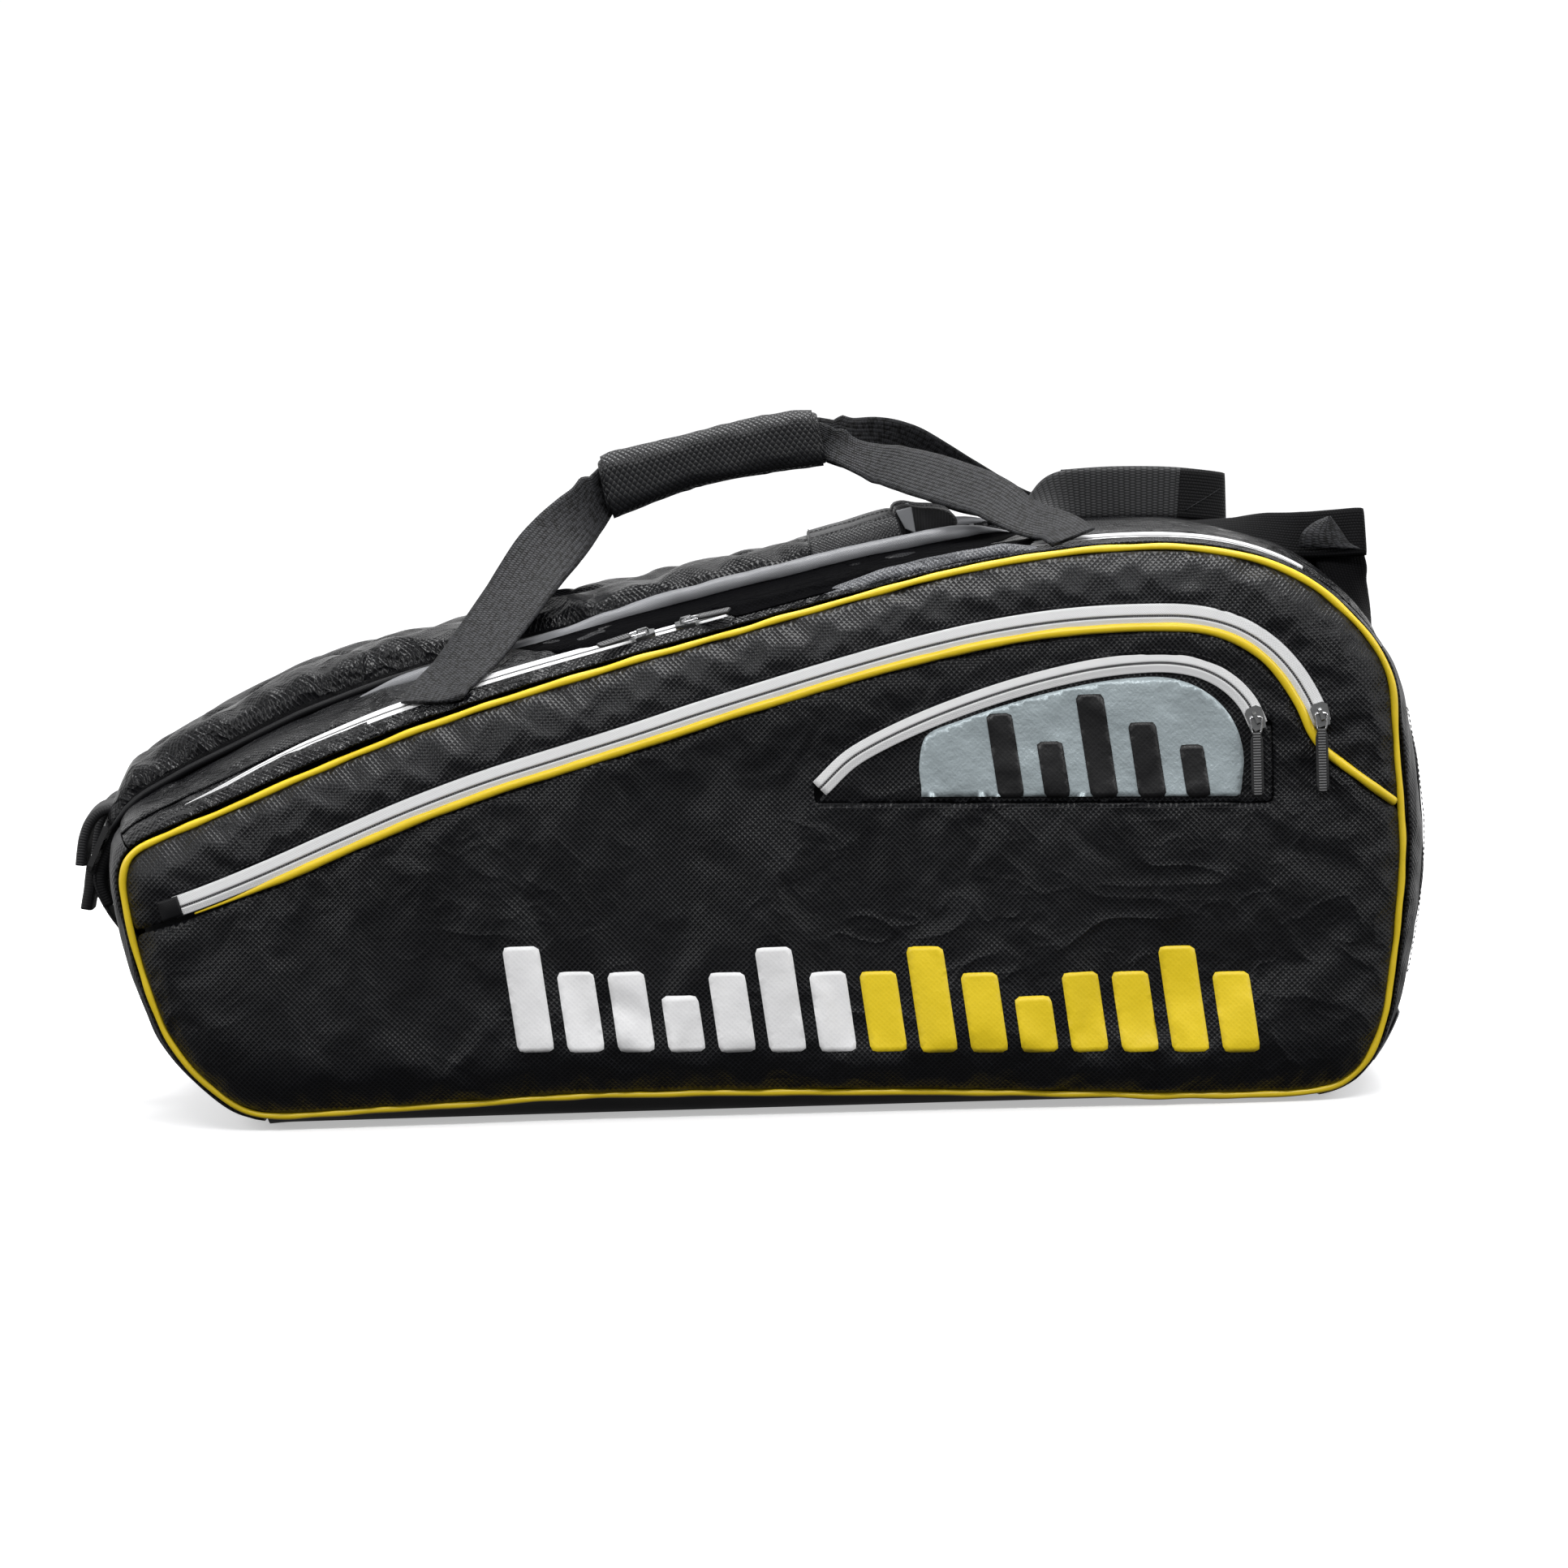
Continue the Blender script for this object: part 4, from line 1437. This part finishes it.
# closing flap of the wrap, hinged along its top edge
turn = np.concatenate([np.linspace(76, 0, 9), np.linspace(0, -78, 10)])
cz = np.concatenate([np.full(9, 1.0), np.full(10, -1.0)])
ring_o, ring_i = [], []
NA = 46
al = np.linspace(-61.2, 61.2, NA)
P = np.zeros((NA, len(turn), 3))
for i, a in enumerate(al):
    endr = 1.0 - 0.10 * math.exp(-(61.2 - abs(a)) / 2.2)
    drop = 3.0 * smooth(np.array((a + 8) / 6.0)) if True else 0
    for j, (tn, c) in enumerate(zip(turn, cz)):
        lim = tn if tn > -40 else -40 + (tn + 40) * (0.86 + 0.14 * float(smooth(np.array((8 - a) / 14.0))))
        r = 9.5 + 2.0 * endr + 0.12 * math.sin(a * 0.12 + j * 0.5)
        an = math.radians(lim)
        P[i, j] = grip_point(a, -(1.5 + r * math.cos(an)), drawn(a, c * 6.9 + r * math.sin(an)))
o = grid("grip_flap_cloth", P, mat="grip", body="grip_flap", rep=["handle_grip_flap"], slot="grip_fabric", flip=False)
if normals(o)[:, 1].mean() > 0:
    o.data.flip_normals()
d = np.minimum(np.minimum(np.arange(NA)[:, None] * 1.0, NA - 1 - np.arange(NA)[:, None]) * 2.7, np.full((1, len(turn)), 9.0)).repeat(1, 0)
d = np.broadcast_to(d, (NA, len(turn))).ravel()
wrinkle(o, np.clip(1 - d / 4, 0.12, 1), grow=0.006, out_cap=0.6, in_cap=0.3, seed=170, grain=34, start=0.12)
thick(subdivide(o), 1.9)
o["_pad"] = 0.6
flap_edge = P.copy()
e = P[:, -2] + np.array([0, -0.15, -0.15])
stitches("stitch_grip_flap", P[2:-2, -3], unit(np.stack([np.zeros(NA - 4), -np.cos(np.radians(turn[-3])) * np.ones(NA - 4), np.sin(np.radians(turn[-3])) * np.ones(NA - 4)], 1)), lift=0.4, body="grip_flap", slot="grip_fabric")

# box stitching on the handle's feet
def box_stitch(name, centre, u, v, up, a, b, **kw):
    pts = []
    for p, q in (((-a, -b), (a, -b)), ((a, -b), (a, b)), ((a, b), (-a, b)), ((-a, b), (-a, -b)), ((-a, -b), (a, b))):
        for t in np.linspace(0, 1, 12, endpoint=False):
            pts.append(centre + u * (p[0] + (q[0] - p[0]) * t) + v * (p[1] + (q[1] - p[1]) * t))
    pts = np.array(pts)
    return stitches(name, pts, np.tile(up, (len(pts), 1)), pitch=2.6, run=1.9, r=0.28, lift=0.15, **kw)


# ------------------------------------------------------------------ shoulder straps
s_pad0, s_pad1 = sA - 5 / PER, None
ox = outline_at(_ss)[0][:, 0]
s_pad1 = float(np.interp(63, ox, _ss))
for sg, nm in ((-1, "front"), (1, "rear")):
    ns = 60 if Q else 104
    s = np.linspace(s_pad0, s_pad1, ns)
    c0 = gusset(s, np.zeros(ns), -1.4)
    t = unit(np.gradient(c0, axis=0))
    up = np.stack([-t[:, 2], np.zeros(ns), t[:, 0]], 1)
    dist = (s - s_pad0) * PER
    ramp = 0.42 + 0.58 * smooth(dist / 18)
    hgt = table(PAD_T, c0[:, 0]) * ramp
    nv = 17
    v = np.linspace(-1, 1, nv)
    prof = 0.34 + 0.66 * np.power(np.maximum(0, 1 - np.abs(v) ** 2.6), 0.62)
    P = np.zeros((ns, 2 * nv, 3))
    for j in range(nv):
        y = sg * STRAP_Y + v[j] * (STRAP_W / 2 - 0.3)
        b = gusset(s, np.full(ns, y), -1.4)
        P[:, j] = b + up * (hgt * prof[j])[:, None]
        P[:, 2 * nv - 1 - j] = b + up * 0.0
    UVu = np.concatenate([[0], np.cumsum(np.linalg.norm(np.diff(c0, axis=0), axis=1))])
    ringv = np.concatenate([v * 28, v[::-1] * 28, v[:1] * 28])
    ringv[nv:2 * nv] += 60
    UV = np.stack(np.meshgrid(UVu, ringv, indexing="ij"), -1)
    o = grid(f"shoulder_strap_{nm}_pad", P, UV, cv=True, caps=True, mat="pad", body=f"strap_{nm}", rep=[f"shoulder_strap_{nm}"], slot="strap_padding", flip=True)
    if normals(o)[nv // 2 + 40 * 2 * nv][2] < 0:
        o.data.flip_normals()
    idx = np.arange(ns * 2 * nv) % (2 * nv)
    pin = np.where(idx >= nv, 1.0, np.where((idx == 0) | (idx == nv - 1), 0.5, 0.0))
    st = np.arange(ns * 2 * nv) // (2 * nv)
    pin = np.maximum(pin, np.clip(1 - st * 4.0 / 9, 0, 1))
    pin = np.maximum(pin, np.clip(1 - (ns - 1 - st) * 4.0 / 9, 0, 1))
    wrinkle(o, pin, grow=0.03, pressure=0.25, out_cap=2.2, in_cap=2.2, seed=180 + sg, bend=0.35, grain=24, start=0.5)
    subdivide(o)
    o["_pad"] = 0.7
    # bound edges and a quilting stitch along each side
    for e, vv in (("a", -1.0), ("b", 1.0)):
        y = sg * STRAP_Y + vv * (STRAP_W / 2 + 0.2)
        b = gusset(s, np.full(ns, y), -1.4) + up * (hgt * 0.17)[:, None]
        tube(f"strap_binding_{nm}_{e}", b, np.minimum(2.1, hgt * 0.16), 10, mat="plain", body=f"strap_{nm}", slot="strap_padding")
        y = sg * STRAP_Y + vv * (STRAP_W / 2 - 6.0)
    # stitched end tab over the wide end of the pad
    tx = np.linspace(43, 95, 30)
    hh = np.interp(tx, [43, 52, 66, 80, 90, 95], [19.2, 19.6, 20.2, 21.4, 22.0, 20.8])
    lo_ = np.interp(tx, [43, 60, 68, 95], [8.0, 6.0, 1.5, 6.0])
    nv2 = 13
    v2 = np.linspace(-1, 1, nv2)
    P = np.zeros((len(tx), 2 * nv2, 3))
    for i, x in enumerate(tx):
        wdt = 58.5 - 12 * smooth(np.array((x - 60) / 35.0))
        for j in range(nv2):
            y = sg * STRAP_Y + v2[j] * wdt / 2
            b = top_point(x, y, 1.6)
            h = hh[i] * (0.50 + 0.50 * (1 - abs(v2[j]) ** 4) ** 0.5)
            P[i, j] = [b[0] - 0.22 * h, y, b[2] + h]
            P[i, 2 * nv2 - 1 - j] = [b[0] - 0.22 * lo_[i], y, b[2] + min(lo_[i], h - 2.5)]
    o = grid(f"strap_end_{nm}_tab", P, cv=True, caps=True, mat="tab", body=f"strap_{nm}", rep=[f"strap_end_tab_{nm}"], slot="strap_padding", flip=True)
    if normals(o)[nv2 // 2 + 10 * 2 * nv2][2] < 0:
        o.data.flip_normals()
    push(o, 0.25 * waves(P.reshape(-1, 3), 22, 190 + sg))
    subdivide(o)
    o["_pad"] = 0.6
    top = P[:, :nv2]
    ring = np.vstack([top[1:-1, 2], top[-2, 2:-2], top[1:-1, -3][::-1], top[1, 2:-2][::-1], top[1:2, 2]])
    stitches(f"stitch_strap_end_{nm}", resample(ring, 1.5), np.tile([-0.2, 0, 0.98], (len(resample(ring, 1.5)), 1)), lift=0.45, pitch=2.8, body=f"strap_{nm}", slot="strap_padding")
    edge_ = np.vstack([top[1:-1, 1 if sg < 0 else -2]])
    stitches(f"stitch_strap_side_{nm}", resample(edge_, 1.5), np.tile([0, -0.8, 0.6], (len(resample(edge_, 1.5)), 1)), lift=0.6, pitch=2.8, body=f"strap_{nm}", slot="strap_padding")
    # slack webbing folded between the tab and the slide
    prof = catmull([[87, 312.0], [86.6, 320], [88.4, 327.6], [93.5, 329.4], [102, 328.0], [112, 327.2], [119, 325.2], [123, 320.6], [121.5, 315.6], [112, 312.2], [100, 310.5]], 44, True)
    yy_ = np.array([-13.5, -13.2, -11.5, -6, 0, 6, 11.5, 13.2, 13.5])
    kk_ = np.array([0.90, 0.97, 1.0, 1.0, 1.0, 1.0, 1.0, 0.97, 0.90])
    mid = prof.mean(0)
    P = np.zeros((9, 44, 3))
    for i in range(9):
        q = mid + (prof - mid) * kk_[i]
        P[i] = np.stack([q[:, 0], np.full(44, sg * 31 + yy_[i]), q[:, 1]], 1)
    o = grid(f"strap_fold_{nm}", P, cv=True, caps=True, mat="web_fine", body=f"strap_{nm}", slot="webbing_black")
    if (normals(o)[44 * 4] * (get_co(o)[44 * 4] / MM - SH - np.array([mid[0], sg * 31, mid[1]]))).sum() < 0:
        o.data.flip_normals()
    # its pale turned-over corner
    q = np.array([[88.6, 326.6], [97.5, 328.6], [99.5, 313.8], [93.5, 316.5]])
    P = np.zeros((6, 4, 3))
    for i, yv in enumerate(np.linspace(-16.8, 16.8, 6)):
        P[i] = np.stack([q[:, 0], np.full(4, sg * 31 + yv), q[:, 1]], 1)
    o = grid(f"strap_fold_corner_{nm}", P, cv=True, caps=True, mat="fold", body=f"strap_{nm}", slot="webbing_black", flat=True)
    bevel(o, 0.5, 2)

# narrow end webbing
for sg, nm in ((-1, "front"), (1, "rear")):
    y = sg * STRAP_Y
    onn = lambda z, lift: list(gusset(float(narrow_s(z)), y, -lift))
    C = catmull([[-367.5, y, 135.5], [-365.5, y, 126], [-360, y, 114.5], onn(97, 3.2), onn(82, 2.2), onn(66, 2.2), onn(50, 2.2), onn(38, 2.2)], 60)
    o = ribbon(f"lower_webbing_{nm}_run", C, np.tile([0, 1.0, 0], (len(C), 1)), 25, 2.4, mat="web_fine", rep=[f"lower_webbing_{nm}"])
    o["_blend"] = ["root", f"strap_{nm}"]
    C = catmull([[-345, y, 169], [-353, y, 173.0], [-361.5, y, 172.0], [-368, y, 166.5], [-371.8, y, 158], [-373.6, y, 149], [-374.6, y, 141]], 60)
    ribbon(f"pad_webbing_{nm}", C, np.tile([0, 1.0, 0], (len(C), 1)) + np.array([0.0, 0, 0.10]) * np.sin(np.linspace(0, 3, len(C)))[:, None], 27, 6.4, mat="web_fine", body=f"strap_{nm}")
    C = catmull([[-349.5, y, 166], [-354.5, y, 156.5], [-358.8, y, 147.5], [-362.6, y, 138.5], [-363.2, y, 129], [-359.5, y, 118]], 50)
    ribbon(f"pad_webbing_inner_{nm}", C, np.tile([0, 1.0, 0], (len(C), 1)), 25.4, 7.6, mat="web_dark", body=f"strap_{nm}")
    C = catmull([[-368.2, y, 141.0], [-369.4, y, 134], [-370.4, y, 127], [-371.6, y, 121], [-372.6, y, 116.0]], 36)
    ribbon(f"webbing_tail_{nm}_run", C, np.tile([0, 1.0, 0], (len(C), 1)), 25, 6.8, mat="web_fine", body=f"lock_{nm}", rep=[f"webbing_tail_{nm}"])

# wide end webbing loops
on = lambda x, y, lift: list(top_point(x, y, lift))
C = catmull([on(121, 31, 1.9), on(136, 31, 1.9), on(152, 31, 2.6), on(168, 29, 10.5), on(186, 26, 16.3), on(215, 22, 16.6), on(245, 19, 17.2), on(264, 21, 18), on(273, 29, 18.5), on(266, 38, 18), on(246, 43, 17.2), on(215, 46, 16.8), on(188, 48, 16.6)], 150)
k = np.arange(len(C)) / (len(C) - 1)
f = smooth((k - 0.11) / 0.21)
ribbon("upper_webbing_rear_loop", C, np.stack([np.zeros(len(C)), 1 - 0.95 * f, f], 1), 26 + 3 * smooth(k / 0.3), 1.8, mat="web_loop", rep=["upper_webbing_rear"])
# doubled end of the loop, sewn with a slanting seam
at = np.nonzero((C[:, 0] > 250) & (C[:, 1] < 34))[0]
W_ = unit(np.stack([np.zeros(len(C)), 1 - 0.95 * f, f], 1))
N_ = unit(np.cross(unit(np.gradient(C, axis=0)), W_))
N_ *= -np.sign(N_[at[0], 1])
ribbon("upper_webbing_rear_end", C[at] + N_[at] * 1.35, W_[at], 28.4, 0.8, mat="web_dark")
v_ = np.linspace(0.92, -0.9, len(at))[::-1]
keep = slice(2, int(len(at) * 0.72))
tube("upper_webbing_rear_seam", (C[at] + N_[at] * 1.95 + W_[at] * (v_ * 13.4)[:, None])[keep], 0.34, 8, mat="web", slot="webbing_black")
def turned(points, facing, n):
    C = catmull(points, n)
    k = np.linspace(0, 1, len(C))
    s_ = np.concatenate([[0], np.cumsum([np.linalg.norm(np.subtract(points[i + 1], points[i])) for i in range(len(points) - 1)])])
    s_ /= s_[-1]
    F = np.array(facing, float)
    return C, unit(np.stack([np.interp(k, s_, F[:, c]) for c in range(3)], 1))


C, A = turned([on(121, -31, 1.9), on(150, -31, 1.9), on(190, -31, 2.2), on(225, -32, 2.8), [250, -37, 313.8], [272, -45, 311.4], [292, -54, 309.4], [312, -58, 307.2], [330, -60, 307.6], [345.6, -60.4, 308.2],
               [348.2, -59.4, 307.8], [345.4, -58.2, 307.2], [330, -57.6, 306.8]],
              [(0, 1, 0), (0, 1, 0), (0, 1, 0), (0, 1, 0), (0, 0.99, 0.12), (0, 0.93, 0.36), (0, 0.72, 0.69), (0, 0.5, 0.87), (0, 0.45, 0.89), (0, 0.42, 0.9), (0, 0.42, 0.9), (0, 0.42, 0.9), (0, 0.42, 0.9)], 190)
ribbon("upper_webbing_front_loop", C, A, 28, 1.8, mat="web_black", rep=["upper_webbing_front"])
D_, E_ = turned([[316, -56, 304], [317.5, -56.6, 296], [320.5, -57.2, 286], [325, -57.6, 275], [331, -58, 262]], [(1, 0, 0), (1, 0.03, 0), (0.98, 0.2, 0), (0.9, 0.4, 0.1), (0.8, 0.6, 0.1)], 50)
ribbon("upper_webbing_front_under", D_, E_, 20, 1.6, mat="web_black")
C, A = turned([[334, -57.4, 306], [334.2, -58.6, 298], [335.2, -60, 290], [337.6, -61, 281], [341.6, -61.5, 272], [345.8, -61.5, 263.5], [350.4, -60.5, 253], [352.8, -59, 244], [354.6, -58, 234]],
              [(1, 0, 0), (1, 0.03, 0), (0.98, 0.2, 0), (0.86, 0.48, 0.12), (0.66, 0.72, 0.2), (0.42, 0.9, 0.2), (0.12, 0.99, 0.05), (0, 1, 0), (0, 1, 0)], 110)
o = ribbon("upper_webbing_front_drop", C, A, 28, 1.8, mat="web_black")
co = get_co(o)
set_co(o, co + normals(o) * (0.5 * waves(co * 1000, 19, 77) * MM)[:, None])
# the facet where the webbing turns over
U = np.linspace(0, 1, 15)
Ls = catmull([[311.2, -65.0, 300.5], [312.6, -65.0, 307.5], [319, -63.5, 313.4], [327.5, -62.0, 317.0]], 14)
Rs = catmull([[345.5, -66.5, 298.8], [339.5, -66.0, 302.2], [335.0, -64.5, 309.0], [329.5, -62.4, 317.2]], 14)
P = np.stack([Ls + (Rs - Ls) * v_ + np.array([0, -3.0 * math.sin(math.pi * v_), 0]) for v_ in np.linspace(0, 1, 11)], 1)
o = grid("upper_webbing_front_turn", P, mat="web", slot="webbing_black")
if normals(o)[:, 1].mean() > 0:
    o.data.flip_normals()
thick(o, 1.6)

# ------------------------------------------------------------------ CAD nodes that stay: their own materials
for n, o in NODES.items():
    if o.hide_render:
        continue
    mat = None
    if n.endswith("_slider"):
        mat = "metal"
        bevel(o, 0.35, 3)
    elif n.startswith("ladder_lock") or n.startswith("webbing_slide"):
        mat = "plastic"
        bevel(o, 0.7, 3)
    elif n.startswith("divider") or n.endswith("pocket_back"):
        mat = "lining"
    if mat:
        o.data.materials.clear()
        o.data.materials.append(MT[mat])
        if len(o.material_slots):
            o.material_slots[0].material = MT[mat]

# ------------------------------------------------------------------ riding, blending and declaring
for o in MADE:
    rep = [str(x) for x in o["_rep"]]
    if rep:
        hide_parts(*rep)
    if "_blend" in o:
        a, b = list(o["_blend"])
        if b == "handle":
            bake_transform(o)
        else:
            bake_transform(o)
    else:
        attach(o, o["_body"])
for n, o in NODES.items():
    if not o.hide_render and not o.data.materials:
        print("no material on", n)

# ------------------------------------------------------------------ floor and soft studio light
WORLD_FRONT, WORLD_BACK, WORLD_TOP, WORLD_LOW = 0.34, 1.03, 0.42, 0.12
me = bpy.data.meshes.new("floor")
R = 60.0
me.from_pydata([(-R, -R, 0), (R, -R, 0), (R, R, 0), (-R, R, 0)], [], [(0, 1, 2, 3)])
floor = bpy.data.objects.new("floor", me)
scene.collection.objects.link(floor)
fg = G("floor_paper", (0.86, 0.86, 0.87), 0.9, spec=0.2)
n = fg.noise(0.004, 2, 0.5)
fg.color(fg.mix(n, (0.84, 0.84, 0.85), (0.88, 0.88, 0.89)))
fg.b.inputs["Emission Color"].default_value = (1, 1, 1, 1)
fg.b.inputs["Emission Strength"].default_value = 0.42
me.materials.append(fg.m)
floor.location.z = -0.0004
floor.visible_diffuse = False
floor.visible_glossy = False
floor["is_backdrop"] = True

world = bpy.data.worlds.new("studio")
scene.world = world
world.use_nodes = True
wt = world.node_tree
wt.nodes.clear()
wo = wt.nodes.new("ShaderNodeOutputWorld")
bg = wt.nodes.new("ShaderNodeBackground")
tc = wt.nodes.new("ShaderNodeTexCoord")
sp = wt.nodes.new("ShaderNodeSeparateXYZ")
mr = wt.nodes.new("ShaderNodeMapRange")
mr.interpolation_type = "SMOOTHSTEP"
wt.links.new(tc.outputs["Generated"], sp.inputs[0])
wt.links.new(sp.outputs[1], mr.inputs[0])
for i, x in enumerate((-0.85, 0.55, WORLD_FRONT, WORLD_BACK)):
    mr.inputs[i + 1].default_value = x
# the zenith is as bright as the backdrop
mz = wt.nodes.new("ShaderNodeMapRange")
mz.interpolation_type = "SMOOTHSTEP"
wt.links.new(sp.outputs[2], mz.inputs[0])
for i, x in enumerate((0.25, 0.85, 0.0, WORLD_TOP)):
    mz.inputs[i + 1].default_value = x
ml = wt.nodes.new("ShaderNodeMapRange")
ml.interpolation_type = "SMOOTHSTEP"
wt.links.new(sp.outputs[2], ml.inputs[0])
for i, x in enumerate((-0.30, -0.02, WORLD_LOW, 1.0)):
    ml.inputs[i + 1].default_value = x
mm = wt.nodes.new("ShaderNodeMath")
mm.operation = "MAXIMUM"
wt.links.new(mr.outputs[0], mm.inputs[0])
wt.links.new(mz.outputs[0], mm.inputs[1])
mk = wt.nodes.new("ShaderNodeMath")
mk.operation = "MULTIPLY"
wt.links.new(mm.outputs[0], mk.inputs[0])
wt.links.new(ml.outputs[0], mk.inputs[1])
wt.links.new(mk.outputs[0], bg.inputs["Strength"])
bg.inputs["Color"].default_value = (1, 1, 1, 1)
wt.links.new(bg.outputs[0], wo.inputs[0])


def area(name, at, to, size, power, color=(1, 1, 1)):
    d = bpy.data.lights.new(name, "AREA")
    d.shape = "RECTANGLE"
    d.size, d.size_y = size
    d.energy = power
    d.color = color
    o = bpy.data.objects.new(name, d)
    o.location = at
    o.rotation_mode = "QUATERNION"
    o.rotation_quaternion = (Vector(to) - Vector(at)).to_track_quat("-Z", "Y")
    scene.collection.objects.link(o)
    return o


area("top_box", (0.1, 0.3, 2.3), (0, 0, 0.15), (2.0, 0.7), 58)
area("left_box", (-2.3, -1.5, 1.5), (-0.1, 0, 0.2), (0.6, 1.4), 26)
area("right_box", (2.4, -1.3, 1.3), (0.2, 0, 0.2), (0.5, 1.4), 20)
area("front_strip", (0.2, -2.4, 2.2), (0, 0, 0.2), (2.2, 0.35), 46)

scene.view_settings.view_transform = "Standard"
scene.view_settings.look = "None"
scene.view_settings.exposure = 0.0
